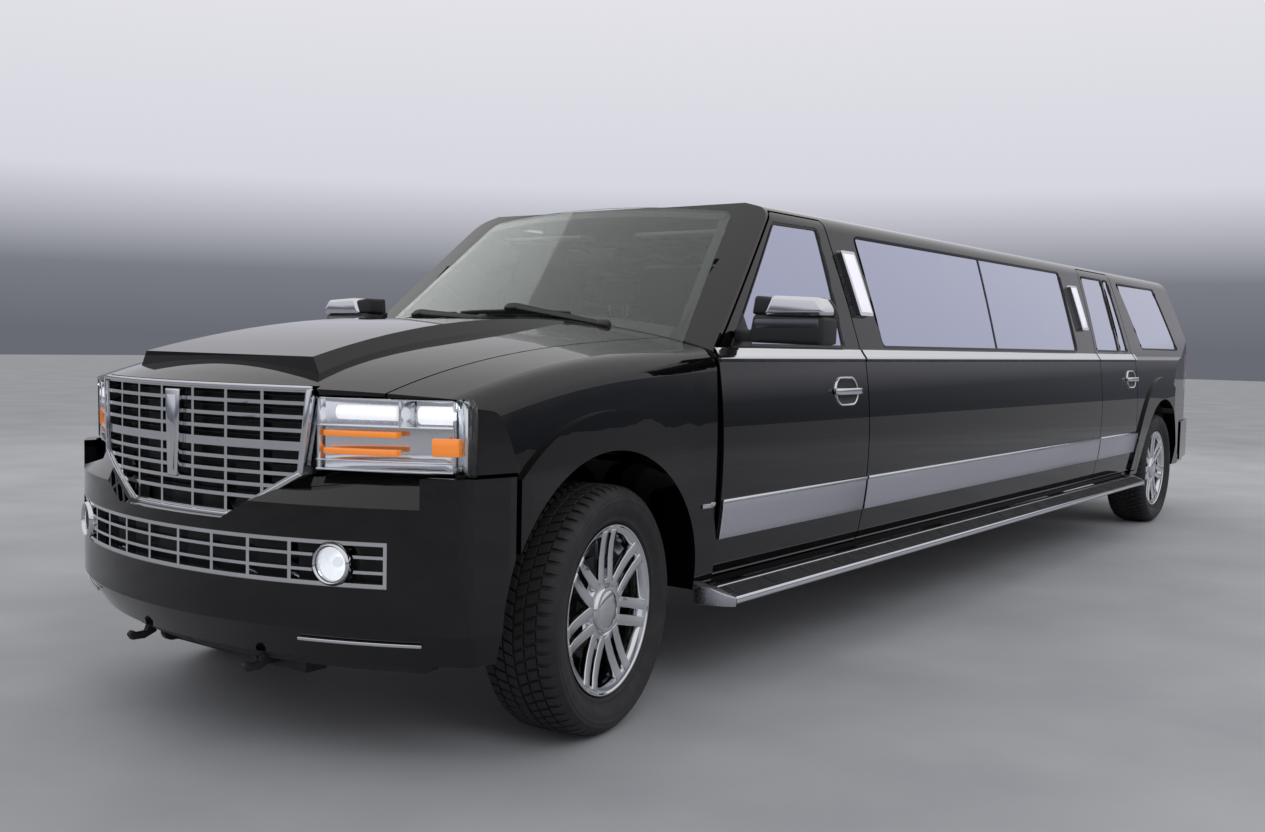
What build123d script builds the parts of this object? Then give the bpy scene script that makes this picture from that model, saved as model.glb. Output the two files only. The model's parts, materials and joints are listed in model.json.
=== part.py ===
from build123d import *
import os
from math import cos, radians, sin

# Stretch limousine on a full-size sport utility body.
# Millimetres, +X forward, +Y to the vehicle's left, +Z up, origin on the ground at mid-length.

# Overall sizes
FRONT_OVERHANG = 960.0
WHEELBASE = 6730.0
REAR_OVERHANG = 1310.0
LENGTH = FRONT_OVERHANG + WHEELBASE + REAR_OVERHANG
NOSE = LENGTH / 2
TAIL = -LENGTH / 2
FRONT_AXLE = NOSE - FRONT_OVERHANG
REAR_AXLE = FRONT_AXLE - WHEELBASE
CABIN_TAIL = REAR_AXLE - 1220.0
BODY_HALF = 1000.0
ROOF_Z = 1930.0
SILL_Z = 400.0
BELT_Z = 1262.0
WIDEST_Z = 800.0
SILL_TUCK = 55.0
WINDOW_TOP = ROOF_Z - 165.0
DOOR_TOP = ROOF_Z - 118.0
FAR = 3000.0

# Wheels and steering
TYRE_RADIUS = 405.0
TYRE_WIDTH = 275.0
RIM_RADIUS = 276.0
BARREL_RADIUS = 250.0
BARREL_WALL = 12.0
WHEEL_Y = 852.0
KINGPIN_Y = 760.0
REST_STEER = 9.0
SPOKE_PAIRS = 7
SPOKE_WIDTH = 36.0
SPOKE_APART = 29.0
HUB_FACE = 100.0
ROTOR_RADIUS = 165.0
ROTOR_FACE = 16.0
ARCH_RADIUS = 505.0
ARCH_Z = 420.0
FLARE_RADIUS = 672.0
FLARE_PROUD = 16.0
TUB_WALL = 25.0
TUB_INNER_Y = 640.0

# Panels
WALL = 70.0
FENDER_WALL = 30.0
DOOR_GAP = 8.0
DOOR_LIP = 10.0
DOOR_STEP = 30.0
SEAM_Y = BODY_HALF - 260.0
LID_GAP = 6.0
GLASS_INSET = 6.0
GLASS = 5.0
SEAT_GAP = 0.3

# Chassis
RAIL_INNER_Y = 380.0
RAIL_WIDTH = 80.0
RAIL_DEPTH = 110.0
RAIL_TOP = SILL_Z - SEAT_GAP
RAIL_KICK = 190.0
TAIL_KICK = 60.0
RAIL_FRONT = NOSE - 230.0
TOW_EYE_X = NOSE - 190.0
TOW_EYE_Y = 242.0
TOW_EYE_Z = 295.0
TOW_EYE_BORE = 15.0
UPRIGHT_LOW = -130.0
UPRIGHT_HIGH = 150.0
ARM = 12.0
FLOOR = 70.0
FLOOR_TOP = SILL_Z + FLOOR
REAR_FLOOR_TOP = FLOOR_TOP + RAIL_KICK
CROSS_DEPTH = 42.0
CROSS_EAR = 28.0
CROSS_WALL = 14.0


def box(x0, x1, y0, y1, z0, z1):
    return Pos((x0 + x1) / 2, (y0 + y1) / 2, (z0 + z1) / 2) * Box(x1 - x0, y1 - y0, z1 - z0)


def side_prism(points, radius=0.0, y0=-FAR, y1=FAR):
    """Outline of (x, z) points, extruded across the vehicle."""
    face = make_face(Polyline(*points, close=True))
    if radius:
        face = fillet(face.vertices(), radius)
    return Pos(0, y1, 0) * extrude(Plane.XZ * face, amount=y1 - y0, dir=(0, -1, 0))


def front_prism(points, radius=0.0, x0=-2 * FAR, x1=2 * FAR):
    """Outline of (y, z) points, extruded along the vehicle."""
    face = make_face(Polyline(*points, close=True))
    if radius:
        face = fillet(face.vertices(), radius)
    return Pos(x0, 0, 0) * extrude(Plane.YZ * face, amount=x1 - x0, dir=(1, 0, 0))


def cylinder_y(x, y0, y1, z, radius):
    return Pos(x, (y0 + y1) / 2, z) * Rot(90, 0, 0) * Cylinder(radius, y1 - y0)


def rod(start, end, radius):
    path = Vector(*end) - Vector(*start)
    plane = Plane(origin=start, z_dir=path)
    return extrude(plane * Circle(radius), amount=path.length)


def both_sides(solid):
    return Compound(children=list(solid.solids()) + list(mirror(solid, Plane.XZ).solids()))


def left_only(solid):
    return solid & box(-FAR * 3, FAR * 3, 0, FAR, -FAR, FAR)


# Cabin: one section along the whole stretch, trimmed by the profile, the plan and the windscreen

CORNER_Y = BODY_HALF - 205.0
CORNER_DROP = 115.0
CORNER_RADIUS = 90.0


def cabin_section(inset):
    """Section across the cabin: barrel sides below the belt, sides that lean in above it, a crown."""
    half = BODY_HALF - inset
    bottom = (half - SILL_TUCK, SILL_Z + inset)
    widest = (half, WIDEST_Z)
    shoulder = (half - 28, BELT_Z - 47)
    belt = (half - 52, BELT_Z - 22)
    window = (half - 123, (BELT_Z + WINDOW_TOP) / 2 + 11)
    corner_y = CORNER_Y - 0.85 * inset
    corner = (corner_y, ROOF_Z - inset - CORNER_DROP * (corner_y / CORNER_Y) ** 2)

    def left(point):
        return (-point[0], point[1])
    edges = [Line(left(bottom), bottom), ThreePointArc(bottom, widest, shoulder), Line(shoulder, belt),
             ThreePointArc(belt, window, corner), ThreePointArc(corner, (0, ROOF_Z - inset), left(corner)),
             ThreePointArc(left(corner), left(window), left(belt)), Line(left(belt), left(shoulder)),
             ThreePointArc(left(shoulder), left(widest), left(bottom))]
    face = make_face(edges)
    corners = [v for v in face.vertices() if v.Y > window[1]]
    return fillet(corners, max(CORNER_RADIUS - inset, 20))


SLOPE = radians(40.4)
GLASS_FOOT = (FRONT_AXLE - 400.0, 1190.0)
GLASS_CURVE = 4500.0


def screen_plane():
    """Plane of the windscreen's middle line: local x runs left, local y up the slope."""
    return Plane(origin=(GLASS_FOOT[0], 0, GLASS_FOOT[1]), x_dir=(0, 1, 0),
                 z_dir=(sin(SLOPE), 0, cos(SLOPE)))


def screen_cylinder(inset):
    rise = Vector(-cos(SLOPE), 0, sin(SLOPE))
    out = Vector(sin(SLOPE), 0, cos(SLOPE))
    foot = Vector(GLASS_FOOT[0], 0, GLASS_FOOT[1]) - out * GLASS_CURVE - rise * 1500
    return extrude(Plane(origin=foot, z_dir=rise) * Circle(GLASS_CURVE - inset), amount=4500)


def ahead_of_screen():
    """Everything that lies before a line 250 mm behind the windscreen's middle line."""
    back = 250.0
    x0 = GLASS_FOOT[0] - back * sin(SLOPE)
    z0 = GLASS_FOOT[1] - back * cos(SLOPE)
    low = (x0 + 900 * cos(SLOPE), z0 - 900 * sin(SLOPE))
    high = (x0 - 1400 * cos(SLOPE), z0 + 1400 * sin(SLOPE))
    return side_prism([low, high, (high[0] + 2500, high[1] + 600), (low[0] + 1500, low[1])])


FIREWALL_X = FRONT_AXLE - 620.0
CROWN_CLEAR = 6.0


def cabin_profile(inset):
    tail = CABIN_TAIL
    points = [(FIREWALL_X, SILL_Z), (FIREWALL_X, 1377), (FRONT_AXLE - 1150, ROOF_Z - 98),
              (FRONT_AXLE - 1600, ROOF_Z - 35), (FRONT_AXLE - 2200, ROOF_Z + CROWN_CLEAR),
              (REAR_AXLE + 300, ROOF_Z + CROWN_CLEAR),
              (REAR_AXLE - 520, ROOF_Z - 22), (REAR_AXLE - 690, ROOF_Z - 80), (REAR_AXLE - 1070, 1280),
              (tail + 20, 1050), (tail, 600), (tail + 50, SILL_Z)]
    face = make_face(Polyline(*points, close=True))
    if inset:
        face = offset(face, -inset, kind=Kind.INTERSECTION)
    return Pos(0, FAR, 0) * extrude(Plane.XZ * face, amount=2 * FAR, dir=(0, -1, 0))


def cabin_plan(inset):
    tail = CABIN_TAIL
    wide = BODY_HALF + 100
    full = BODY_HALF + 1
    narrow = BODY_HALF - 108
    points = [(FIREWALL_X + 50, -wide), (FIREWALL_X + 50, wide), (REAR_AXLE - 300, wide),
              (REAR_AXLE - 300, full), (tail, narrow), (tail, -narrow), (REAR_AXLE - 300, -full),
              (REAR_AXLE - 300, -wide)]
    face = make_face(Polyline(*points, close=True))
    face = fillet([v for v in face.vertices() if v.X < tail + 1], 170)
    if inset:
        face = offset(face, -inset, kind=Kind.INTERSECTION)
    return extrude(face, amount=FAR, dir=(0, 0, 1))


def cabin(inset):
    body = extrude(Plane.YZ * cabin_section(inset), amount=-4 * TAIL, dir=(1, 0, 0))
    body = Pos(2 * TAIL, 0, 0) * body
    body = body & cabin_profile(inset)
    body = body & cabin_plan(inset)
    return body - (ahead_of_screen() - screen_cylinder(inset))


# Front end: one loft for fenders, hood and lamps

# x from the front axle, half width at the foot, side half width, side top height, crown height
FRONT_STATIONS = [(-800, BODY_HALF - 68, BODY_HALF + 1, 1262, 1345),
                  (100, BODY_HALF - 45, BODY_HALF - 15, 1195, 1302),
                  (560, BODY_HALF - 42, BODY_HALF - 12, 1105, 1236),
                  (800, BODY_HALF - 50, BODY_HALF - 20, 1035, 1165),
                  (960, BODY_HALF - 60, BODY_HALF - 30, 985, 1085)]
FRONT_BOTTOM = 330.0
SHOULDER = 95.0


def front_section(x, foot_y, side_y, side_z, crown_z, inset):
    foot = foot_y - inset
    y = side_y - inset
    z = side_z - inset
    top = crown_z - inset
    low = FRONT_BOTTOM
    edges = [Line((-foot, low), (foot, low)),
             ThreePointArc((foot, low), (y, (low + z) / 2), (y - 22, z)),
             ThreePointArc((y - 22, z), (0, top), (-y + 22, z)),
             ThreePointArc((-y + 22, z), (-y, (low + z) / 2), (-foot, low))]
    face = make_face(edges)
    face = fillet([v for v in face.vertices() if v.Y > low + 1], SHOULDER)
    return Plane(origin=(FRONT_AXLE + x, 0, 0), x_dir=(0, 1, 0), z_dir=(1, 0, 0)) * face


NOSE_FACE = 910.0
NOSE_HALF = BODY_HALF - 15.0
NOSE_FLARE = 0.3
NOSE_RADIUS = 1646.0
NOSE_CORNER = 60.0


def nose_face(front, inset):
    """Plan of the nose: a wide arc, then corners that turn back to the sides."""
    x = FRONT_AXLE + front - inset
    half = NOSE_HALF + NOSE_FLARE * (front - NOSE_FACE) - inset
    arc_y = half - 28
    side = x - NOSE_RADIUS + (NOSE_RADIUS ** 2 - arc_y ** 2) ** 0.5
    wide = BODY_HALF + 100
    outline = [ThreePointArc((side, -arc_y), (x, 0), (side, arc_y)),
               Line((side, arc_y), (side - 145, half)),
               Line((side - 145, half), (FIREWALL_X - 300, wide)),
               Line((FIREWALL_X - 300, wide), (FIREWALL_X - 300, -wide)),
               Line((FIREWALL_X - 300, -wide), (side - 145, -half)),
               Line((side - 145, -half), (side, -arc_y))]
    face = make_face(outline)
    return fillet([v for v in face.vertices() if side - 1 < v.X < side + 1], NOSE_CORNER)


def nose_plan(front, inset):
    return Pos(0, 0, -200) * extrude(nose_face(front, inset), amount=FAR, dir=(0, 0, 1))


def front_end(inset):
    sections = [front_section(*row, inset) for row in FRONT_STATIONS]
    return loft(sections) & nose_plan(NOSE_FACE, inset)


def arch_annulus(axle, inner, outer, y0, y1):
    ring = cylinder_y(axle, y0, y1, ARCH_Z, outer) - cylinder_y(axle, y0 - 1, y1 + 1, ARCH_Z, inner)
    return ring & box(axle - outer, axle + outer, y0, y1, SILL_Z, SILL_Z + 2 * outer)


# Openings in the side, as (x, z) outlines

DOOR_FRONT = FIREWALL_X
DOOR_BOTTOM = 425.0
REAR_DOOR_FRONT = REAR_AXLE + 1530.0
REAR_DOOR_BACK = REAR_AXLE + 680.0


def front_door_outline(gap, step=0.0):
    g = gap
    return [(DOOR_FRONT - g, DOOR_BOTTOM + g), (DOOR_FRONT - g, 1232 - g),
            (FRONT_AXLE - 735 - g, 1330 - g), (FRONT_AXLE - 1255 - g, DOOR_TOP - g - step),
            (FRONT_AXLE - 1700 + g + step, DOOR_TOP - g - step), (FRONT_AXLE - 1800 + g + step, BELT_Z),
            (FRONT_AXLE - 1800 + g + step, DOOR_BOTTOM + g)]


def rear_door_outline(gap, step=0.0):
    g = gap
    return [(REAR_DOOR_FRONT - g, DOOR_BOTTOM + g), (REAR_DOOR_FRONT - g, DOOR_TOP - g - step),
            (REAR_AXLE + 820 + g + step, DOOR_TOP - g - step), (REAR_DOOR_BACK + g + step, BELT_Z),
            (REAR_DOOR_BACK + g + step, 800), (REAR_AXLE + 548 + g + step, DOOR_BOTTOM + g)]


def front_door_window():
    return side_prism([(FRONT_AXLE - 752, BELT_Z), (FRONT_AXLE - 1252, WINDOW_TOP),
                       (FRONT_AXLE - 1625, WINDOW_TOP + 5), (FRONT_AXLE - 1655, BELT_Z)], 22)


REAR_PANES = [((1475, 975), (1480, 1035)), ((935, 765), (1000, 890))]


def rear_door_windows():
    """Main pane and the narrow fixed pane behind it."""
    cuts = []
    for (low_front, low_back), (high_front, high_back) in REAR_PANES:
        cuts.append(side_prism([(REAR_AXLE + low_front, BELT_Z + 8), (REAR_AXLE + high_front, WINDOW_TOP),
                                (REAR_AXLE + high_back, WINDOW_TOP), (REAR_AXLE + low_back, BELT_Z + 8)], 15))
    return cuts


LONG_FRONT = FRONT_AXLE - 2030.0
LONG_BACK = REAR_DOOR_FRONT + 400.0
LONG_SPLIT = LONG_FRONT - 1420.0


def long_window():
    return side_prism([(LONG_FRONT, BELT_Z + 3), (LONG_FRONT + 70, WINDOW_TOP), (LONG_BACK, WINDOW_TOP),
                       (LONG_BACK - 30, BELT_Z + 3)], 35)


def quarter_window():
    low, high = BELT_Z + 28, WINDOW_TOP - 5
    return side_prism([(REAR_AXLE + 370, low), (REAR_AXLE + 680, high), (REAR_AXLE - 320, high),
                       (REAR_AXLE - 670, low)], 35)


def screen_opening(margin=0.0):
    """Windscreen outline in its own sloped plane: corners from the slope's foot."""
    m = margin
    low, high = 150 - m, 1010 + m
    foot, top = BODY_HALF - 162 + m, BODY_HALF - 348 + m
    outline = make_face(Polyline((-foot, low), (foot, low), (top, high), (-top, high), close=True))
    outline = fillet([v for v in outline.vertices() if v.Y > high - 1], 55)
    plane = screen_plane()
    return extrude(plane * outline, amount=200) + extrude(plane * outline, amount=-400)


TAILGATE_X = REAR_AXLE - 600.0
TAILGATE_BOTTOM = 736.0


def tailgate_zone(gap):
    return box(TAIL - 100, TAILGATE_X - gap, -SEAM_Y + gap, SEAM_Y - gap, TAILGATE_BOTTOM + gap, ROOF_Z + 100)


def tailgate_window():
    return front_prism([(-640, 1310), (640, 1310), (600, 1740), (-600, 1740)], 45,
                       TAIL - 200, TAILGATE_X - 20)


def tail_lamp_zone():
    return box(TAIL, REAR_AXLE - 960, SEAM_Y + 10, 1100, 985, 1265)


def tube(inset):
    """Inside of the side walls, run on past both ends and down past the floor."""
    core = extrude(Plane.YZ * cabin_section(inset), amount=-4 * TAIL, dir=(1, 0, 0))
    core = Pos(2 * TAIL, 0, 0) * core
    half = BODY_HALF - SILL_TUCK - inset
    return core + box(2 * TAIL, -2 * TAIL, -half, half, 0, SILL_Z + inset + 1)


SKIN = cabin(0)
INNER = cabin(WALL)
SHELL = SKIN - INNER
GLASS_LAYER = cabin(GLASS_INSET) - cabin(GLASS_INSET + GLASS)
PROUD_LAYER = cabin(-FLARE_PROUD) - SKIN
LIP_LAYER = SKIN - tube(DOOR_LIP)
DOOR_LAYER = (SKIN & tube(DOOR_LIP)) - tube(WALL)
DOOR_CLEAR = tube(WALL + DOOR_GAP)


def door_opening(outline):
    return side_prism(outline(0), 30) - DOOR_CLEAR


STRAP = 14.0
STRAP_REACH = 60.0
HINGE_HEIGHTS = (640.0, 1090.0)


def door_straps(edge):
    """Hinge straps that reach from the pillar behind the inside face of the door."""
    inner = tube(WALL + STRAP)
    straps = []
    for z in HINGE_HEIGHTS:
        behind = (tube(WALL + SEAT_GAP) - inner) & box(edge - STRAP_REACH, edge, 0, FAR, z - 35, z + 35)
        ahead = (tube(WALL - 5) - inner) & box(edge, edge + STRAP_REACH, 0, FAR, z - 35, z + 35)
        straps.append(behind + ahead)
    return straps


def tailgate_straps():
    """Hinge straps that reach from the roof under the top of the tailgate."""
    edge = TAILGATE_X
    straps = []
    for y in (-420, 420):
        under = cabin(WALL + SEAT_GAP) - cabin(WALL + STRAP)
        under = under & box(edge - STRAP_REACH, edge, y - 35, y + 35, WINDOW_TOP - 65, ROOF_Z)
        roof_end = cabin(WALL - 5) - cabin(WALL + STRAP)
        roof_end = roof_end & box(edge, edge + STRAP_REACH, y - 35, y + 35, WINDOW_TOP - 65, ROOF_Z)
        straps.append(under + roof_end)
    return straps


def body_sides():
    side = left_only(SHELL)
    side -= box(TAIL, NOSE, -1, SEAM_Y, 0, ROOF_Z + 50)
    side -= door_opening(front_door_outline)
    side -= door_opening(rear_door_outline)
    side -= long_window()
    side -= quarter_window()
    side -= screen_opening()
    side -= tail_lamp_zone()
    side -= cylinder_y(REAR_AXLE, SEAM_Y - 5, 1100, ARCH_Z, ARCH_RADIUS)
    flare = PROUD_LAYER & arch_annulus(REAR_AXLE, ARCH_RADIUS, FLARE_RADIUS, 850, 1100)
    side += flare - side_prism(rear_door_outline(0), 30)
    for strap in door_straps(REAR_DOOR_FRONT):
        side += strap
    for strap in door_straps(DOOR_FRONT):
        side += strap & box(DOOR_FRONT - STRAP_REACH, DOOR_FRONT, 0, FAR, 0, ROOF_Z)
    return both_sides(max(side.solids(), key=lambda solid: solid.volume))


def wheel_wells():
    """Inner arches of the rear wheels, each on the sill and against the inner face of its side."""
    well = cylinder_y(REAR_AXLE, TUB_INNER_Y, 960, ARCH_Z, ARCH_RADIUS + TUB_WALL)
    well -= cylinder_y(REAR_AXLE, TUB_INNER_Y + TUB_WALL, 1000, ARCH_Z, ARCH_RADIUS)
    well = well & cabin(WALL + SEAT_GAP)
    well -= box(REAR_AXLE - 70, REAR_AXLE + 70, 0, TUB_INNER_Y + TUB_WALL, 0, TYRE_RADIUS + 150)
    return both_sides(well)


def roof():
    panel = SHELL & box(TAILGATE_X, FRONT_AXLE - 900, -SEAM_Y, SEAM_Y, 1600, ROOF_Z + 50)
    panel -= door_opening(front_door_outline)
    panel -= door_opening(rear_door_outline)
    panel -= screen_opening()
    for strap in tailgate_straps():
        panel += strap
    return panel


def floor_pan():
    riser = REAR_AXLE + 980
    front = FIREWALL_X - WALL
    back = CABIN_TAIL + WALL
    points = [(front, FLOOR_TOP - FLOOR), (front, FLOOR_TOP), (riser, FLOOR_TOP), (riser, REAR_FLOOR_TOP),
              (back, REAR_FLOOR_TOP), (back, REAR_FLOOR_TOP - FLOOR), (riser - FLOOR, REAR_FLOOR_TOP - FLOOR),
              (riser - FLOOR, FLOOR_TOP - FLOOR)]
    pan = side_prism(points, 0, -SEAM_Y, SEAM_Y)
    for side in (1, -1):
        ends = sorted((side * TUB_INNER_Y, side * 800))
        pan -= cylinder_y(REAR_AXLE, ends[0], ends[1], ARCH_Z, ARCH_RADIUS + TUB_WALL)
    return pan


def rear_panel():
    """Upright panel under the tailgate, behind the end of the floor."""
    back = CABIN_TAIL + WALL - SEAT_GAP
    return SHELL & box(TAIL, back, -SEAM_Y, SEAM_Y, REAR_FLOOR_TOP - FLOOR, TAILGATE_BOTTOM)


def tailgate():
    panel = SHELL & tailgate_zone(LID_GAP)
    return panel - tailgate_window()


def door(outline, windows, flare=False):
    outer = left_only(LIP_LAYER) & side_prism(outline(DOOR_GAP), 22)
    inner = left_only(DOOR_LAYER) & side_prism(outline(DOOR_GAP, DOOR_STEP), 22)
    panel = outer + inner
    for window in windows:
        panel -= window
    if flare:
        lip = PROUD_LAYER & arch_annulus(REAR_AXLE, ARCH_RADIUS, FLARE_RADIUS, 850, 1100)
        panel += lip & side_prism(outline(DOOR_GAP), 22)
    return panel


def pane(window):
    return left_only(GLASS_LAYER) & window


def side_windows():
    divider = box(LONG_SPLIT - 3, LONG_SPLIT + 3, 0, FAR, 0, ROOF_Z)
    panes = (pane(long_window()) - divider).solids() + pane(quarter_window()).solids()
    return both_sides(Compound(children=list(panes)))


FRONT_ENVELOPE = front_end(0)
FRONT_INNER = front_end(FENDER_WALL)


def windscreen():
    sheet = screen_cylinder(0) - screen_cylinder(GLASS)
    sheet = sheet & screen_opening() & ahead_of_screen()
    return sheet - FRONT_ENVELOPE


HOOD_Y = SEAM_Y
HOOD_BACK = FRONT_AXLE - 520.0
LAMP_TOP = 1098.0
LAMP_BOTTOM = 880.0
FENDER_FOOT = LAMP_BOTTOM + 6.0
GRILLE_TOP = 1120.0
LAMP_BACK = FRONT_AXLE + 590.0
GRILLE_HALF = 505.0
HOOD_TRIM = 25.0


def hood_zone(gap):
    """Hood region: rear edge curved in plan, lower edge over the lamps and the grille."""
    side = HOOD_Y - gap
    low = front_prism([(-side, LAMP_TOP + 3), (-552, LAMP_TOP + 3), (-538, GRILLE_TOP + 5),
                       (538, GRILLE_TOP + 5), (552, LAMP_TOP + 3), (side, LAMP_TOP + 3),
                       (side, 1700), (-side, 1700)])
    back = HOOD_BACK + gap
    edge = make_face([Line((back - 90, HOOD_Y - gap), (NOSE, HOOD_Y - gap)),
                      Line((NOSE, HOOD_Y - gap), (NOSE, -HOOD_Y + gap)),
                      Line((NOSE, -HOOD_Y + gap), (back - 90, -HOOD_Y + gap)),
                      ThreePointArc((back - 90, -HOOD_Y + gap), (back, 0), (back - 90, HOOD_Y - gap))])
    return low & extrude(edge, amount=FAR, dir=(0, 0, 1))


def hood():
    skin = FRONT_ENVELOPE - front_end(HOOD_TRIM)
    panel = skin & hood_zone(LID_GAP / 2)
    dome = loft([Plane(origin=(FRONT_AXLE + x, 0, z), x_dir=(0, 1, 0), z_dir=(1, 0, 0)) *
                 make_face(Polyline((-w - 60, -60), (w + 60, -60), (w, h), (-w, h), close=True))
                 for x, z, w, h in [(-480, 1320, 370, 22), (300, 1265, 400, 34), (740, 1165, 430, 42)]])
    return panel + (dome - FRONT_ENVELOPE)


def lamp_zone(gap):
    return front_prism([(GRILLE_HALF + gap + 4, LAMP_BOTTOM + gap), (1100, LAMP_BOTTOM + gap),
                        (1100, LAMP_TOP - gap), (GRILLE_HALF + 27 + gap, LAMP_TOP - gap)], 0,
                       LAMP_BACK + gap, NOSE)


def headlamps():
    return both_sides(left_only(FRONT_ENVELOPE - front_end(110)) & lamp_zone(SEAT_GAP))


def front_fenders():
    panel = left_only(FRONT_ENVELOPE - FRONT_INNER)
    panel -= box(0, NOSE + 100, -1, HOOD_Y + LID_GAP / 2, 0, ROOF_Z)
    panel -= box(FRONT_AXLE - 3000, FIREWALL_X, 0, FAR, 0, ROOF_Z)
    panel -= box(FRONT_AXLE + 450, NOSE, 0, FAR, 0, FENDER_FOOT)
    panel -= lamp_zone(0)
    panel -= cylinder_y(FRONT_AXLE, 500, 1100, ARCH_Z, ARCH_RADIUS)
    panel -= box(FRONT_AXLE - 3000, NOSE, 0, FAR, 0, SILL_Z + 5)
    flare = left_only(front_end(-FLARE_PROUD) - FRONT_INNER)
    flare = flare & arch_annulus(FRONT_AXLE, ARCH_RADIUS, FLARE_RADIUS - 40, 850, 1100)
    flare -= box(FRONT_AXLE - 3000, FIREWALL_X, 0, FAR, 0, ROOF_Z)
    flare -= box(FRONT_AXLE + 450, NOSE, 0, FAR, 0, FENDER_FOOT)
    liner = arch_annulus(FRONT_AXLE, ARCH_RADIUS, ARCH_RADIUS + 14, TUB_INNER_Y, 1000) & FRONT_ENVELOPE
    liner -= box(FRONT_AXLE + 450, NOSE, 0, FAR, 0, 700)
    return both_sides(panel + flare + liner)


def cowl():
    """Plate below the windscreen, on top of the bulkhead in front of the cabin."""
    panel = front_end(SEAT_GAP) - front_end(24)
    panel = panel & box(FIREWALL_X - 130, HOOD_BACK + 60, -735, 735, 1100, 1400)
    panel -= hood_zone(-LID_GAP / 2)
    wall = box(FIREWALL_X - WALL, FIREWALL_X, -SEAM_Y, SEAM_Y, FLOOR_TOP - FLOOR, 1400)
    wall = wall & front_end(1) & screen_cylinder(GLASS + SEAT_GAP)
    return panel + wall


# Front bumper, grilles and lamps

BUMPER_FACE = FRONT_OVERHANG
BUMPER_BOTTOM = 335.0
BUMPER_TOP = LAMP_BOTTOM - 3.0
BUMPER_WALL = 45.0
SHELF_Z = 790.0


def bumper_envelope(inset):
    """Chin, upright face and a shelf that slopes back to the grille and the lamps."""
    def level(z, back):
        return Pos(0, 0, z) * nose_face(BUMPER_FACE - back, inset)
    chin = loft([level(BUMPER_BOTTOM, 70), level(435, 0)])
    face = extrude(level(435, 0), amount=SHELF_Z - 435, dir=(0, 0, 1))
    shelf = loft([level(SHELF_Z, 0), level(BUMPER_TOP, 100)])
    corners = extrude(level(SHELF_Z, 0), amount=BUMPER_TOP - SHELF_Z, dir=(0, 0, 1))
    corners -= box(0, NOSE + 100, -860, 860, 0, 2000)
    body = chin + face + shelf + corners
    return body & box(FRONT_AXLE, NOSE + 10, -1000, 1000, 0, 2000)


def grille_outline(margin=0.0):
    m = margin
    return [(-530 - m, GRILLE_TOP), (-503 - m, 870 - m), (-262 - m, 733 - m), (262 + m, 733 - m),
            (503 + m, 870 - m), (530 + m, GRILLE_TOP)]


LOWER_HALF = BODY_HALF - 220.0
LOWER_BOTTOM = 563.0
LOWER_TOP = 694.0
FOG_Y = 629.0
FOG_Z = 627.0
FOG_RADIUS = 62.0


def front_bumper():
    shell = bumper_envelope(0) - bumper_envelope(BUMPER_WALL)
    shell -= front_prism(grille_outline(SEAT_GAP), 0, FRONT_AXLE + 300, NOSE + 50)
    shell -= box(FRONT_AXLE + 300, NOSE + 50, -LOWER_HALF, LOWER_HALF, LOWER_BOTTOM, LOWER_TOP)
    shell -= cylinder_y(FRONT_AXLE, -1100, 1100, ARCH_Z, ARCH_RADIUS + 12)
    shell -= box(FRONT_AXLE, FRONT_AXLE + 470, -1100, 1100, 0, 950)
    for side in (1, -1):
        ends = sorted((side * RAIL_INNER_Y, side * RAIL_OUTER_Y))
        absorber = box(RAIL_FRONT + SEAT_GAP, NOSE, *ends, RAIL_TOP - RAIL_DEPTH, RAIL_TOP)
        shell += absorber & bumper_envelope(1)
    return shell


BAR_THIN = 11.0
BAR_THICK = 26.0
GRILLE_DEPTH = 32.0
# height of each level bar and its thickness
GRILLE_ROWS = [(1074, BAR_THIN), (1034, BAR_THIN), (995, BAR_THIN), (950, BAR_THICK),
               (906, BAR_THIN), (868, BAR_THIN), (831, BAR_THIN), (795, BAR_THIN)]
GRILLE_COLUMNS = [80, 225, 363]


def lattice(slab, outline, inner, rows, columns, x0, x1):
    """Surround, level bars and upright bars, all cut from one curved slab."""
    frame = outline - inner
    bars = [box(x0, x1, -900, 900, z - t / 2, z + t / 2) for z, t in rows]
    for y in columns:
        for side in (1, -1):
            bars.append(box(x0, x1, side * y - BAR_THIN / 2, side * y + BAR_THIN / 2, 300, 1300))
    solid = (slab & frame)
    for bar in bars:
        solid += slab & outline & bar
    return solid


def grille():
    x0, x1 = FRONT_AXLE + 300, NOSE + 50
    slab = nose_plan(NOSE_FACE, 0) - nose_plan(NOSE_FACE, GRILLE_DEPTH)
    outline = front_prism(grille_outline(0), 0, x0, x1)
    inner = front_prism([(-508, 1106), (-483, 880), (-252, 749), (252, 749), (483, 880), (508, 1106)],
                        0, x0, x1)
    solid = lattice(slab, outline, inner, GRILLE_ROWS, GRILLE_COLUMNS, x0, x1)
    spine = nose_plan(NOSE_FACE, -10) - nose_plan(NOSE_FACE, GRILLE_DEPTH)
    spine = spine & front_prism([(-34, 1098), (-22, 835), (22, 835), (34, 1098)], 0, x0, x1)
    return solid + spine


def lower_grille():
    x0, x1 = FRONT_AXLE + 300, NOSE + 50
    slab = nose_plan(BUMPER_FACE, 4) - nose_plan(BUMPER_FACE, 34)
    outline = box(x0, x1, -LOWER_HALF, LOWER_HALF, LOWER_BOTTOM, LOWER_TOP)
    inner = box(x0, x1, -LOWER_HALF + 12, LOWER_HALF - 12, LOWER_BOTTOM + 12, LOWER_TOP - 12)
    rows = [(607, 9), (650, 9)]
    solid = lattice(slab, outline, inner, rows, [75, 222, 360, 500], x0, x1)
    for side in (1, -1):
        solid -= Pos(FRONT_AXLE + 800, side * FOG_Y, FOG_Z) * Rot(0, 90, 0) * Cylinder(FOG_RADIUS + 1, 900)
    return solid


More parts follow.
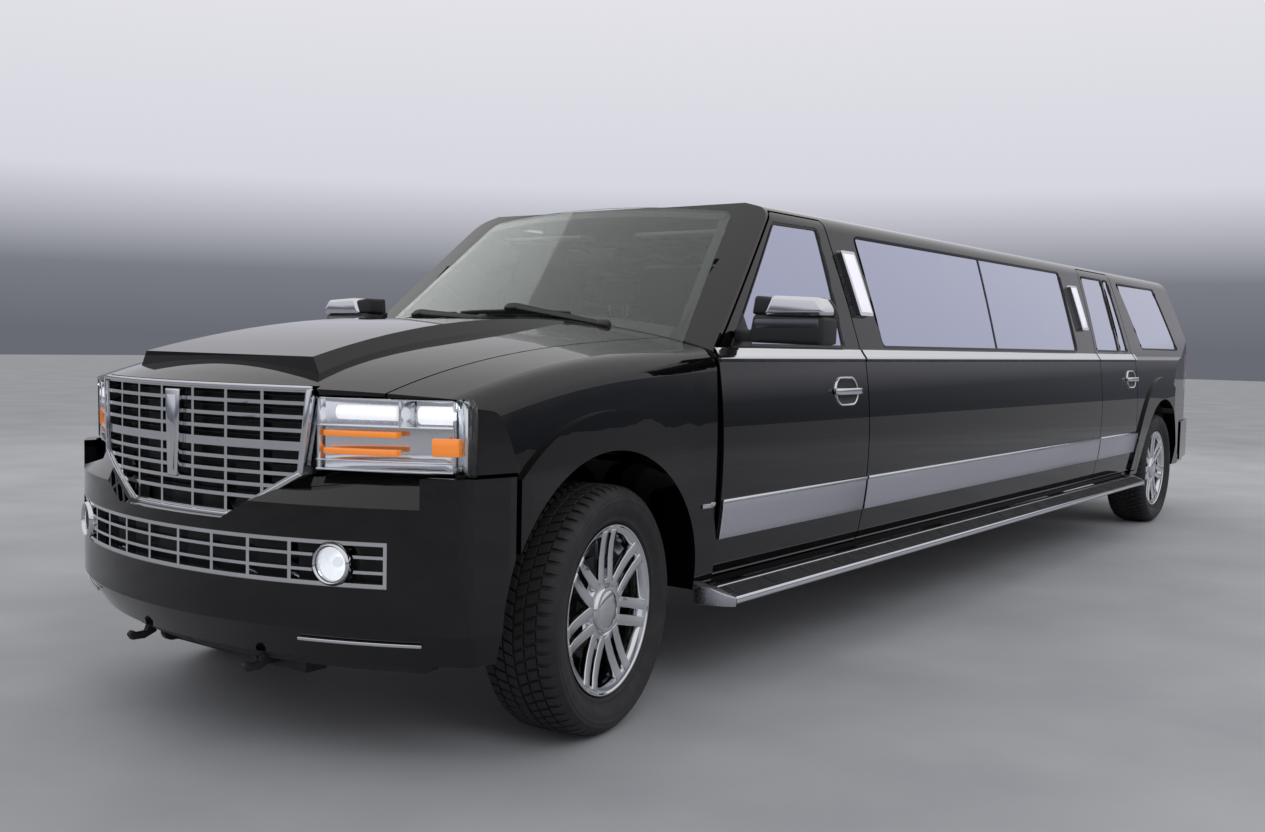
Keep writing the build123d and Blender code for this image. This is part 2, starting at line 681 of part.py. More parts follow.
def fog_lamps():
    lamps = []
    for side in (1, -1):
        core = Pos(FRONT_AXLE + 800, side * FOG_Y, FOG_Z) * Rot(0, 90, 0) * Cylinder(FOG_RADIUS, 900)
        lamps.append(core & (nose_plan(BUMPER_FACE, 0) - nose_plan(BUMPER_FACE, 80)))
    return Compound(children=[s for lamp in lamps for s in lamp.solids()])


# Rear end

REAR_BUMPER_TOP = 728.0
REAR_BUMPER_BOTTOM = 430.0


def rear_bumper():
    front = REAR_AXLE - FLARE_RADIUS - 10
    side, corner, back = BODY_HALF - 18, BODY_HALF - 98, BODY_HALF - 300
    face = make_face(Polyline((front, -side), (front, side), (REAR_AXLE - 900, side - 32),
                              (TAIL + 75, corner), (TAIL, back), (TAIL, -back), (TAIL + 75, -corner),
                              (REAR_AXLE - 900, 32 - side), close=True))
    face = fillet([v for v in face.vertices() if v.X < TAIL + 80], 60)
    body = extrude(face, amount=REAR_BUMPER_TOP - REAR_BUMPER_BOTTOM, dir=(0, 0, 1))
    body = Pos(0, 0, REAR_BUMPER_BOTTOM) * body
    return body - cabin(-SEAT_GAP)


def tail_lamps():
    return both_sides(left_only(SHELL) & tail_lamp_zone())


# Wheels

def tyre():
    """Ring with a flat crown, bevelled shoulders and sidewalls that bulge past the rim."""
    half = TYRE_WIDTH / 2
    bead = BARREL_RADIUS + SEAT_GAP
    side = [(97, bead), (98, RIM_RADIUS + 6), (half, 335), (half - 19, TYRE_RADIUS - 24), (72, TYRE_RADIUS)]
    outline = side + [(-x, radius) for x, radius in reversed(side)]
    return revolve(make_face(Polyline(*outline, close=True)), Axis.X)


def rim():
    barrel = make_face(Polyline((-114, BARREL_RADIUS), (-114, RIM_RADIUS - 14), (-101, RIM_RADIUS - 14),
                                (-100, BARREL_RADIUS - 0.3), (100, BARREL_RADIUS - 0.3),
                                (101, RIM_RADIUS - 10), (113, RIM_RADIUS), (113, BARREL_RADIUS - 10),
                                (90, BARREL_RADIUS - BARREL_WALL), (-114, BARREL_RADIUS - BARREL_WALL),
                                close=True))
    solid = revolve(barrel, Axis.X)
    for index in range(SPOKE_PAIRS):
        for side in (1, -1):
            spoke = Pos(0, side * SPOKE_APART, 0) * side_spoke()
            solid += Rot(index * 360 / SPOKE_PAIRS, 0, 0) * spoke
    solid += Pos((ROTOR_FACE + HUB_FACE) / 2, 0, 0) * Rot(0, 90, 0) * Cylinder(72, HUB_FACE - ROTOR_FACE)
    solid += Pos(ROTOR_FACE + 12, 0, 0) * Rot(0, 90, 0) * Cylinder(ROTOR_RADIUS, 24)
    return solid


def side_spoke():
    """One spoke along +Z, slightly dished from rim to hub."""
    face = make_face(Polyline((62, 50), (96, 50), (106, 244), (74, 244), close=True))
    return Pos(0, SPOKE_WIDTH / 2, 0) * extrude(Plane.XZ * face, amount=SPOKE_WIDTH, dir=(0, -1, 0))


def wheel_place(side, axle, steer):
    """Carries the local wheel, whose outer face looks along +X, to one corner."""
    turn = Rot(0, 0, 90 * side)
    if axle == FRONT_AXLE:
        return (Pos(axle, side * KINGPIN_Y, TYRE_RADIUS) * Rot(0, 0, steer) *
                Pos(0, side * (WHEEL_Y - KINGPIN_Y), 0) * turn)
    return Pos(axle, side * WHEEL_Y, TYRE_RADIUS) * turn


def knuckle(side):
    """Upright between the arms, turned with the wheel about the kingpin."""
    upright = box(-35, 35, -30, 30, UPRIGHT_LOW, UPRIGHT_HIGH)
    spindle = cylinder_y(0, 0, WHEEL_Y - KINGPIN_Y + ROTOR_FACE - SEAT_GAP, 0, 60)
    arm = box(-150, 0, -28, 12, -40, -10)
    solid = upright + spindle + arm
    if side < 0:
        solid = mirror(solid, Plane.XZ)
    return Pos(FRONT_AXLE, side * KINGPIN_Y, TYRE_RADIUS) * Rot(0, 0, REST_STEER) * solid


# Chassis

RAIL_OUTER_Y = RAIL_INNER_Y + RAIL_WIDTH
SHAFT_Z = 345.0


def chassis_frame():
    over_axle, rear_end = RAIL_TOP + RAIL_KICK, RAIL_TOP + TAIL_KICK
    top = [(RAIL_FRONT, RAIL_TOP), (REAR_AXLE + 900, RAIL_TOP), (REAR_AXLE + 560, over_axle),
           (REAR_AXLE - 560, over_axle), (REAR_AXLE - 760, rear_end), (TAIL + 200, rear_end)]
    low = [(x, z - RAIL_DEPTH) for x, z in reversed(top)]
    rail = side_prism(top + low, 0, RAIL_INNER_Y, RAIL_OUTER_Y)
    return both_sides(rail)


def crossmembers():
    """Level beams, turned up at both ends between the rails, and two tow eyes on the foremost one."""
    beams = []
    for x in CROSS_X:
        top = RAIL_TOP - RAIL_DEPTH - SEAT_GAP + (TAIL_KICK if x < REAR_AXLE else 0)
        end = RAIL_INNER_Y - SEAT_GAP
        beam = box(x - 40, x + 40, -end, end, top - CROSS_DEPTH, top + CROSS_EAR)
        beams.append(beam - box(x - 50, x + 50, CROSS_WALL - end, end - CROSS_WALL, top, top + 2 * CROSS_EAR))
    for side in (1, -1):
        ends = sorted((side * (TOW_EYE_Y - 10), side * (TOW_EYE_Y + 10)))
        eye = box(NOSE - 300, TOW_EYE_X, *ends, TOW_EYE_Z - 34, TOW_EYE_Z + 34)
        eye += cylinder_y(TOW_EYE_X, *ends, TOW_EYE_Z, 34)
        beams[0] += eye - cylinder_y(TOW_EYE_X, ends[0] - 5, ends[1] + 5, TOW_EYE_Z, TOW_EYE_BORE)
    return Compound(children=[solid for beam in beams for solid in beam.solids()])


CROSS_X = [NOSE - 280, FRONT_AXLE, FRONT_AXLE - 1400, FRONT_AXLE - 3100, FRONT_AXLE - 4450,
           REAR_AXLE + 1000, TAIL + 260]


def front_suspension():
    arms = []
    for z in (TYRE_RADIUS + UPRIGHT_LOW - ARM - SEAT_GAP, TYRE_RADIUS + UPRIGHT_HIGH + SEAT_GAP):
        outline = make_face(Polyline((-95, RAIL_OUTER_Y), (95, RAIL_OUTER_Y), (40, KINGPIN_Y + 25),
                                     (-40, KINGPIN_Y + 25), close=True))
        arms.append(Pos(FRONT_AXLE, 0, z) * extrude(outline, amount=ARM, dir=(0, 0, 1)))
    tower = box(FRONT_AXLE - 70, FRONT_AXLE + 70, RAIL_OUTER_Y, RAIL_OUTER_Y + 40, 262, 620)
    side = arms[0] + arms[1] + tower
    side += rod((FRONT_AXLE, 560, 270), (FRONT_AXLE, 500, 610), 30)
    return both_sides(side)


def rear_axle():
    solid = cylinder_y(REAR_AXLE, -WHEEL_Y - ROTOR_FACE + SEAT_GAP, WHEEL_Y + ROTOR_FACE - SEAT_GAP,
                       TYRE_RADIUS, 42)
    solid += Pos(REAR_AXLE, 0, TYRE_RADIUS) * Sphere(150)
    solid += rod((REAR_AXLE, 0, SHAFT_Z), (REAR_AXLE + 260, 0, SHAFT_Z), 42)
    for side in (1, -1):
        y = side * (RAIL_INNER_Y + RAIL_OUTER_Y) / 2
        solid += rod((REAR_AXLE, y, TYRE_RADIUS), (REAR_AXLE, y, RAIL_TOP + RAIL_KICK - RAIL_DEPTH), 38)
    return solid


def driveshaft():
    return rod((REAR_AXLE + 260 + SEAT_GAP, 0, SHAFT_Z), (FRONT_AXLE - 1500 - SEAT_GAP, 0, SHAFT_Z), 42)


def engine_block():
    block = box(FRONT_AXLE - 380, FRONT_AXLE + 420, -290, 290, RAIL_TOP, 1040)
    bottom = RAIL_TOP - RAIL_DEPTH
    gearbox = box(FRONT_AXLE - 1500, FRONT_AXLE - 380, -150, 150, bottom, RAIL_TOP - 1)
    bell = box(FRONT_AXLE - 420, FRONT_AXLE - 340, -150, 150, bottom, 600)
    side = RAIL_INNER_Y - SEAT_GAP
    mounts = box(FRONT_AXLE - 60, FRONT_AXLE + 60, -side, side, 320, 450)
    return block + gearbox + bell + mounts


def exhaust():
    y = -270.0
    pipe = rod((FRONT_AXLE - 700, y, 345), (REAR_AXLE + 700, y, 345), 32)
    pipe += box(FRONT_AXLE - 3000, FRONT_AXLE - 2200, y - 90, y + 90, 290, 385)
    for x in (FRONT_AXLE - 1200, FRONT_AXLE - 2600, FRONT_AXLE - 4000, REAR_AXLE + 850):
        pipe += box(x - 15, x + 15, y - 15, y + 15, 345, FLOOR_TOP - FLOOR)
    return pipe


BOARD_FRONT = FRONT_AXLE - 560.0
BOARD_BACK = REAR_AXLE + 660.0


def running_boards():
    y = BODY_HALF
    section = [(y - 70, 352), (y - 70, 392), (y, 400), (y + 78, 372), (y + 80, 345), (y + 50, 335)]
    board = front_prism(section, 0, BOARD_BACK, BOARD_FRONT)
    count = 6
    for index in range(count):
        x = BOARD_FRONT - 350 - index * (BOARD_FRONT - BOARD_BACK - 700) / (count - 1)
        board += box(x - 25, x + 25, RAIL_OUTER_Y, BODY_HALF - 60, 355, 385)
    return both_sides(board)


# Doors' mirrors, opera lamps and the cabin's contents

def mirror_head():
    """Mirror shell on its foot, at the front corner of the door glass."""
    x = FRONT_AXLE - 740
    y = BODY_HALF
    z = BELT_Z
    head = front_prism([(y + 8, z + 13), (y + 316, z + 6), (y + 320, z + 138), (y + 292, z + 178),
                        (y + 22, z + 190)], 14, x - 130, x)
    foot = front_prism([(y - 100, z), (y + 60, z), (y + 60, z + 58), (y - 100, z + 68)], 0, x - 90, x - 20)
    return head + (foot - cabin(-SEAT_GAP))


def opera_lamps():
    plates = []
    layer = cabin(-24) - cabin(-SEAT_GAP)
    for front, lean in ((FRONT_AXLE - 1800, 45), (REAR_DOOR_FRONT + 265, 40)):
        outline = [(front - 20, 1405), (front + lean, 1685), (front + lean - 130, 1685), (front - 150, 1405)]
        plates.append(left_only(layer) & side_prism(outline, 12))
    return both_sides(Compound(children=[s for plate in plates for s in plate.solids()]))


def dashboard():
    profile = [(FIREWALL_X - WALL - SEAT_GAP, 1000), (FIREWALL_X - WALL - SEAT_GAP, 1210),
               (FIREWALL_X - 260, 1235), (FIREWALL_X - 480, 1180), (FIREWALL_X - 520, 1000),
               (FIREWALL_X - 380, 860), (FIREWALL_X - WALL - SEAT_GAP, 860)]
    return (tube(WALL + 6) & side_prism(profile)) - steering_column(COLUMN_RADIUS + SEAT_GAP, 400)


WHEEL_CENTRE = (FIREWALL_X - 640, 400, 1120)


COLUMN_TILT = 28.0
COLUMN_RADIUS = 26.0


def steering_column(radius, length):
    """Shaft that runs forward and down from the steering wheel's centre."""
    return Pos(*WHEEL_CENTRE) * Rot(0, 90 + COLUMN_TILT, 0) * Pos(0, 0, length / 2) * Cylinder(radius, length)


def steering_wheel():
    ring = Torus(185, 16) + Box(340, 34, 16) + Cylinder(60, 40)
    ring = Pos(*WHEEL_CENTRE) * Rot(0, 90 + COLUMN_TILT, 0) * ring
    return ring + steering_column(COLUMN_RADIUS, 260)


def bucket_seat(y):
    x = FIREWALL_X - 560
    base = box(x - 520, x - 80, y - 200, y + 200, FLOOR_TOP + SEAT_GAP, 680)
    cushion = side_prism([(x, 680), (x, 790), (x - 80, 820), (x - 520, 780), (x - 520, 680)], 0,
                         y - 260, y + 260)
    back = side_prism([(x - 460, 760), (x - 560, 760), (x - 700, 1440), (x - 600, 1440)], 0,
                      y - 240, y + 240)
    rest = side_prism([(x - 600, 1420), (x - 690, 1420), (x - 710, 1600), (x - 620, 1600)], 0,
                      y - 130, y + 130)
    return base + cushion + back + rest


def front_seats():
    return Compound(children=[s for y in (400, -400) for s in bucket_seat(y).solids()])


PARTITION_X = FRONT_AXLE - 1985.0


def partition():
    wall = cabin(WALL + SEAT_GAP) & box(PARTITION_X - 40, PARTITION_X, -SEAM_Y, SEAM_Y, FLOOR_TOP, ROOF_Z)
    return wall - box(PARTITION_X - 50, PARTITION_X + 10, -480, 480, 1270, 1640)


def cabin_seats():
    """Bench down the right side, and a rear bench across the cabin."""
    front = PARTITION_X - 260
    back = REAR_DOOR_FRONT + 60
    foot = FLOOR_TOP + SEAT_GAP
    wall = 140 - BODY_HALF
    bench = front_prism([(wall, foot), (wall + 530, foot), (wall + 530, 850), (wall + 160, 850),
                         (wall + 100, 1200), (wall + 10, 1200)], 0, back, front)
    foot = REAR_FLOOR_TOP + SEAT_GAP
    rear = side_prism([(REAR_AXLE + 560, foot), (REAR_AXLE + 560, 980), (REAR_AXLE + 150, 950),
                       (REAR_AXLE + 40, 1400), (REAR_AXLE - 60, 1400), (REAR_AXLE + 20, foot)], 0,
                      -620, 620)
    return Compound(children=[*bench.solids(), *rear.solids()])


def bar_cabinet():
    front = PARTITION_X - 500
    back = REAR_DOOR_FRONT + 600
    return box(back, front, BODY_HALF - 520, BODY_HALF - 140, FLOOR_TOP + SEAT_GAP, 1080)


def build():
    left_front_door = door(front_door_outline, [front_door_window()])
    left_rear_door = door(rear_door_outline, rear_door_windows(), True)
    front_glass = pane(front_door_window())
    rear_panes = [s for window in rear_door_windows() for s in pane(window).solids()]
    rear_glass = Compound(children=rear_panes)
    head = mirror_head()
    parts = {
        "floor_pan": floor_pan(), "rear_panel": rear_panel(),
        "body_sides": body_sides(), "wheel_wells": wheel_wells(), "roof": roof(), "cowl": cowl(),
        "hood": hood(),
        "front_fenders": front_fenders(), "front_bumper": front_bumper(), "grille": grille(),
        "lower_grille": lower_grille(), "headlamps": headlamps(), "fog_lamps": fog_lamps(),
        "windscreen": windscreen(), "side_windows": side_windows(),
        "tailgate": tailgate(), "tailgate_glass": GLASS_LAYER & tailgate_window(),
        "rear_bumper": rear_bumper(), "tail_lamps": tail_lamps(), "running_boards": running_boards(),
        "opera_lamps": opera_lamps(), "chassis_frame": chassis_frame(),
        "crossmembers": crossmembers(),
        "front_suspension": front_suspension(), "rear_axle": rear_axle(), "driveshaft": driveshaft(),
        "exhaust": exhaust(), "engine_block": engine_block(), "front_seats": front_seats(),
        "cabin_seats": cabin_seats(), "bar_cabinet": bar_cabinet(), "partition": partition(),
        "dashboard": dashboard(), "steering_wheel": steering_wheel(),
    }
    for name, solid in (("front_door", left_front_door), ("front_door_glass", front_glass),
                        ("rear_door", left_rear_door), ("rear_door_glass", rear_glass),
                        ("mirror", head)):
        parts[name + "_left"] = solid
        parts[name + "_right"] = mirror(solid, Plane.XZ)
    for end, axle in (("front", FRONT_AXLE), ("rear", REAR_AXLE)):
        for name, side in (("left", 1), ("right", -1)):
            place = wheel_place(side, axle, REST_STEER)
            parts["wheel_" + end + "_" + name] = place * rim()
            parts["tyre_" + end + "_" + name] = place * tyre()
    for name, side in (("left", 1), ("right", -1)):
        parts["knuckle_" + name] = knuckle(side)
    return parts


def main():
    os.makedirs("parts", exist_ok=True)
    for name, solid in build().items():
        solid = Compound(children=list(solid.solids()))
        export_step(solid, "parts/" + name + ".step")
        print(name, round(solid.volume / 1e6, 2), len(solid.solids()))


if __name__ == "__main__":
    main()
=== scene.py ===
import json
from math import cos, hypot, pi, radians, sin

import bpy
from mathutils import Matrix, Vector
from mathutils.bvhtree import BVHTree

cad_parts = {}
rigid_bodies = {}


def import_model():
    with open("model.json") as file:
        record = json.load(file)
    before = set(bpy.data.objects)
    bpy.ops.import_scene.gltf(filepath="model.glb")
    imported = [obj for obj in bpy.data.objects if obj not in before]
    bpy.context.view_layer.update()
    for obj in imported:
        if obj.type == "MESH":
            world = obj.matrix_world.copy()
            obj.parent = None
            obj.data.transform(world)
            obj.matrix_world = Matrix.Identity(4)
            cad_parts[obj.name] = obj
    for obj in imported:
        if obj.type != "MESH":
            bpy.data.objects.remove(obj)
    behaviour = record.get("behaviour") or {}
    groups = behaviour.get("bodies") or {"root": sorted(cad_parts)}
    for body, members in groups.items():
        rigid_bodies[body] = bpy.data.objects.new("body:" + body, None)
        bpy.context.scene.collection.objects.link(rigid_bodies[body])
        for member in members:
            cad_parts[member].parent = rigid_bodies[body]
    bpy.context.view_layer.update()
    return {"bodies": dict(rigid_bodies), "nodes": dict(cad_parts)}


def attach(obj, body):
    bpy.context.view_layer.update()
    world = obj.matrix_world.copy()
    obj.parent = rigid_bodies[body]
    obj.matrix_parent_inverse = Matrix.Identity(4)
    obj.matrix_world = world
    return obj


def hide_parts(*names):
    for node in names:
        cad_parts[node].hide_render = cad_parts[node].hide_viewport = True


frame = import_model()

nodes = frame["nodes"]
bpy.context.scene.view_settings.view_transform = "Standard"

# Camera: full-frame sensor at head height, off the left front corner, looking back along the body.
# Its place and lens come from the photo's perspective.

CAMERA_PLACE = (6.6735, 3.3837, 1.2683)
CAMERA_YAW = -143.418
CAMERA_PITCH = -3.379
CAMERA_ROLL = 1.1766
LENS_MM = 35.52
SENSOR_MM = 36.0

bpy.ops.object.camera_add(location=CAMERA_PLACE)
camera = bpy.context.object
camera.name = "camera"
camera.data.lens = LENS_MM
camera.data.sensor_width = SENSOR_MM
ahead = Vector((cos(radians(CAMERA_PITCH)) * cos(radians(CAMERA_YAW)),
                cos(radians(CAMERA_PITCH)) * sin(radians(CAMERA_YAW)), sin(radians(CAMERA_PITCH))))
level_right = ahead.cross(Vector((0, 0, 1))).normalized()
level_up = level_right.cross(ahead)
roll = radians(CAMERA_ROLL)
right = level_right * cos(roll) + level_up * sin(roll)
up = level_up * cos(roll) - level_right * sin(roll)
camera.rotation_euler = Matrix((right, up, -ahead)).transposed().to_euler()
bpy.context.scene.camera = camera


# Studio: matt grey floor under an overcast sky, which is darker near the horizon, as a row of hills
# is. Glass, chrome and black paint show that change from light to dark.

def linear(code):
    """Linear colour of an sRGB hex code."""
    parts = [int(code[i:i + 2], 16) / 255 for i in (1, 3, 5)]
    return tuple(c / 12.92 if c <= 0.04045 else ((c + 0.055) / 1.055) ** 2.4 for c in parts) + (1.0,)


def add(tree, kind, inputs=(), **settings):
    """Adds a node with its settings, its socket values and its links."""
    made = tree.nodes.new(kind)
    for key, value in settings.items():
        setattr(made, key, value)
    for key, value in dict(inputs).items():
        if isinstance(value, bpy.types.NodeSocket):
            tree.links.new(value, made.inputs[key])
        else:
            made.inputs[key].default_value = value
    return made


def ramp(tree, factor, stops):
    """Colour ramp through (position, hex code) stops."""
    made = add(tree, "ShaderNodeValToRGB", {"Fac": factor})
    for index, (place, code) in enumerate(stops):
        if index < 2:
            stop = made.color_ramp.elements[index]
            stop.position = place
        else:
            stop = made.color_ramp.elements.new(place)
        stop.color = linear(code)
    return made


def shader_input(finish, socket):
    """One of the inputs of a finish's shader."""
    return finish.node_tree.nodes["Principled BSDF"].inputs[socket]


def material(name, code, **values):
    """Finish of this colour; the values go to the shader's sockets of those names."""
    made = bpy.data.materials.new(name)
    made.use_nodes = True
    shader_input(made, "Base Color").default_value = linear(code)
    for key, value in values.items():
        shader_input(made, key.replace("_", " ").title().replace("Ior", "IOR")).default_value = value
    return made


def coloured(finish, pattern, stops):
    """Base colour that follows a pattern through (position, hex code) stops."""
    tree = finish.node_tree
    tree.links.new(ramp(tree, pattern, stops).outputs["Color"], shader_input(finish, "Base Color"))


FLOOR_HALF = 60.0
FLOOR_PATCH_SCALE = 1.2
SKY_STRENGTH = 0.92
SKY_STOPS = [(0.0, "#6c6f78"), (0.05, "#7e818a"), (0.12, "#dedee8"), (0.5, "#ffffff")]
AIMED_AT = Vector((0, 0, 0.8))
# name, place, size and power in watts of each light panel
PANELS = [("key_panel", (7.0, 7.5, 7.0), 5.0, 260), ("fill_panel", (-3.0, 9.0, 6.0), 7.0, 240),
          ("far_panel", (1.0, -9.0, 6.5), 7.0, 200), ("tail_panel", (-10.0, 1.0, 5.0), 4.0, 120)]

world = bpy.data.worlds.new("overcast")
world.use_nodes = True
bpy.context.scene.world = world
sky = world.node_tree
facing = add(sky, "ShaderNodeTexCoord")
height = add(sky, "ShaderNodeSeparateXYZ", {"Vector": facing.outputs["Generated"]})
glow = ramp(sky, height.outputs["Z"], SKY_STOPS)
sky.links.new(glow.outputs["Color"], sky.nodes["Background"].inputs["Color"])
sky.nodes["Background"].inputs["Strength"].default_value = SKY_STRENGTH

# mid grey with soft patches, so that the ground is neither flat nor wet
concrete = material("sealed_concrete", "#8f9095", roughness=0.7)
place = add(concrete.node_tree, "ShaderNodeTexCoord")
mottle = add(concrete.node_tree, "ShaderNodeTexNoise", {"Vector": place.outputs["Object"],
                                                        "Scale": FLOOR_PATCH_SCALE, "Detail": 6.0})
coloured(concrete, mottle.outputs["Fac"], [(0.3, "#88898e"), (0.7, "#96979b")])

bpy.ops.mesh.primitive_plane_add(size=2 * FLOOR_HALF, location=(0, 0, 0))
floor = bpy.context.object
floor.name = "floor"
floor.data.materials.append(concrete)

for name, spot, size, power in PANELS:
    bpy.ops.object.light_add(type="AREA", location=spot)
    panel = bpy.context.object
    panel.name = name
    panel.data.size = size
    panel.data.energy = power
    panel.rotation_euler = (AIMED_AT - Vector(spot)).to_track_quat("-Z", "Y").to_euler()
    panel.visible_glossy = False


# Painted steel panels: doors, wings, roof, hood and bumpers, pressed and sprayed black, then
# clear-coated. The clear coat has the faint ripple of sprayed lacquer and a little road dust.

PAINT_RIPPLE_MM = 9.0
DUST_PATCH_MM = 260.0
NOISE_RANGE = (0.3, 0.7)
BANDS_AT_SCALE_ONE = 6.3


def per_metre(millimetres):
    """Scale that makes a pattern in metre coordinates repeat once in this many millimetres."""
    return 1000.0 / millimetres


def relief(finish, pattern, strength, depth_mm):
    """Bump of this depth on the finish, high where the pattern is."""
    tree = finish.node_tree
    bump = add(tree, "ShaderNodeBump", {"Height": pattern, "Strength": strength, "Distance": depth_mm / 1000})
    tree.links.new(bump.outputs["Normal"], shader_input(finish, "Normal"))


def noise(finish, millimetres, detail=3.0, stretch=(1, 1, 1)):
    """Noise in the object's own metres, stretched along the axes."""
    tree = finish.node_tree
    place = add(tree, "ShaderNodeTexCoord")
    turned = add(tree, "ShaderNodeMapping", {"Vector": place.outputs["Object"], "Scale": stretch})
    return add(tree, "ShaderNodeTexNoise", {"Vector": turned.outputs["Vector"], "Scale": per_metre(millimetres),
                                            "Detail": detail}).outputs["Fac"]


def bumpy(finish, strength, depth_mm, *grain):
    """Relief with a grain of this size, detail and stretch."""
    relief(finish, noise(finish, *grain), strength, depth_mm)


def patchy(finish, low, high, *grain):
    """Roughness that wanders between two values, in patches of this size, detail and stretch."""
    values = {"Value": noise(finish, *grain), "From Min": NOISE_RANGE[0], "From Max": NOISE_RANGE[1],
              "To Min": low, "To Max": high}
    spread = add(finish.node_tree, "ShaderNodeMapRange", values)
    finish.node_tree.links.new(spread.outputs["Result"], shader_input(finish, "Roughness"))


def waves(finish, millimetres, direction, **more):
    """Light and dark bands across one of the object's axes, each about this wide."""
    place = add(finish.node_tree, "ShaderNodeTexCoord")
    values = {"Vector": place.outputs["Object"], "Scale": per_metre(millimetres) / BANDS_AT_SCALE_ONE, **more}
    return add(finish.node_tree, "ShaderNodeTexWave", values, bands_direction=direction).outputs["Fac"]


# deep black under a glassy coat: sharp reflections, faintly rippled, duller where dust lies
black_paint = material("clear_coated_black_enamel", "#030304", roughness=0.3, coat_weight=1.0,
                       coat_roughness=0.012, specular_ior_level=0.0, coat_ior=1.5)
bumpy(black_paint, 0.03, 0.04, PAINT_RIPPLE_MM, 1.0)
patchy(black_paint, 0.25, 0.4, DUST_PATCH_MM, 6.0)


def finish_nodes(finish, *names):
    """Gives CAD nodes their finish."""
    for name in names:
        for place in nodes[name].material_slots:
            place.material = finish


finish_nodes(black_paint, "body_sides", "roof", "rear_panel", "hood", "front_fenders", "front_bumper",
             "rear_bumper", "tailgate", "front_door_left", "front_door_right", "rear_door_left",
             "rear_door_right")


# Glass: a laminated screen in front, and tempered side and rear glass with a mirroring film on it,
# all bonded or clipped into their frames.

# clear, with the green tinge of window glass
clear_glass = material("laminated_glass", "#dfe8e6", roughness=0.0, transmission_weight=1.0, ior=1.45)
# pale lavender mirror that hides the cabin by day
privacy_glass = material("mirror_film_glass", "#a0a4ba", metallic=0.85, roughness=0.015, coat_weight=1.0,
                         coat_roughness=0.0)
patchy(privacy_glass, 0.008, 0.03, 180.0, 3.0)
finish_nodes(clear_glass, "windscreen")
finish_nodes(privacy_glass, "side_windows", "tailgate_glass", "rear_door_glass_left", "rear_door_glass_right",
             "front_door_glass_left", "front_door_glass_right")


# Chrome: the grilles, lamp panels, mirrors and wheels, moulded or cast, then plated and polished.

# bright mirror with faint streaks of polishing
chrome = material("chrome_plate", "#d4d6d9", metallic=1.0, roughness=0.07)
patchy(chrome, 0.04, 0.11, 14.0, 4.0, (1, 1, 6))
finish_nodes(chrome, "grille", "lower_grille", "opera_lamps", "mirror_left", "mirror_right", "wheel_front_left",
             "wheel_front_right", "wheel_rear_left", "wheel_rear_right")


# Unpainted parts: moulded black plastic, tyre rubber, satin underbody enamel and bare metals.

# charcoal grey with a moulded grain, drawn coarser than the real one so that it shows
black_plastic = material("moulded_black_plastic", "#17181a", roughness=0.55)
bumpy(black_plastic, 0.25, 0.15, 1.2, 2.0)
# dull black that turns grey in patches of dust
tyre_rubber = material("tyre_rubber", "#1c1c1e", roughness=0.75)
bumpy(tyre_rubber, 0.2, 0.2, 2.5, 3.0)
patchy(tyre_rubber, 0.62, 0.85, 60.0, 5.0)
# half-matt black, uneven like brushed wax
underbody_enamel = material("underbody_enamel", "#1b1b1c", roughness=0.6)
patchy(underbody_enamel, 0.5, 0.8, 40.0, 5.0)
bumpy(underbody_enamel, 0.3, 0.4, 4.0, 3.0)
# warm grey metal with duller patches of scale
exhaust_steel = material("aluminised_steel", "#8d8880", metallic=1.0, roughness=0.4)
patchy(exhaust_steel, 0.3, 0.55, 30.0, 6.0)
# light grey metal with a sand-cast grain, drawn coarser than the real one
cast_aluminium = material("cast_aluminium", "#8a8b8c", metallic=1.0, roughness=0.5)
bumpy(cast_aluminium, 0.4, 0.3, 1.5, 2.0)
finish_nodes(black_plastic, "cowl", "running_boards", "steering_wheel")
finish_nodes(tyre_rubber, "tyre_front_left", "tyre_front_right", "tyre_rear_left", "tyre_rear_right")
finish_nodes(underbody_enamel, "floor_pan", "wheel_wells", "chassis_frame", "crossmembers", "front_suspension",
             "rear_axle", "driveshaft", "knuckle_left", "knuckle_right")
finish_nodes(exhaust_steel, "exhaust")
finish_nodes(cast_aluminium, "engine_block")


# Lamp covers and cabin: moulded plastic lenses, and the leather, wood veneer and moulded skin that
# the cabin's fixed furniture is covered in. The pieces further down are laid over these.

# pale, glossy plastic
clear_lens = material("polycarbonate_lens", "#e8ecee", roughness=0.03)
# deep red under a wet gloss; its flutes come with the tail lamps below
red_lens = material("red_acrylic", "#7a0a0c", roughness=0.08, coat_weight=1.0)
finish_nodes(clear_lens, "headlamps", "fog_lamps")
finish_nodes(red_lens, "tail_lamps")
# plain charcoal under the pads
leather = material("dyed_leather", "#343333", roughness=0.5)
# dark brown varnished wood; its grain comes with the bar below
walnut = material("walnut_veneer", "#3a2418", roughness=0.25, coat_weight=0.6)
# pale stone grey, soft and matt
dash_plastic = material("soft_dash_skin", "#c9cbbb", roughness=0.6)
finish_nodes(leather, "front_seats", "cabin_seats")
finish_nodes(walnut, "bar_cabinet", "partition")
finish_nodes(dash_plastic, "dashboard")


# Tyres: black rubber moulded on steel cords, seated on the rims by air. Each has slanted lugs in
# three rows on either side of a middle groove, and smooth sidewalls with a rim guard and fine ribs.

TYRE_RADIUS = 0.405
LUGS_ROUND = 64
LUG_HALF = 0.0148
LUG_FOOT = 0.390
TYRE_STEPS = 128
STEER_DEGREES = 9.0
KINGPIN_Y = 0.760
WHEEL_Y = 0.852
AXLE_X = {"front": 3.540, "rear": -3.190}
TOUCHING = 1e-5
SMOOTH_BELOW = 35
SIDES = (("left", 1), ("right", -1))
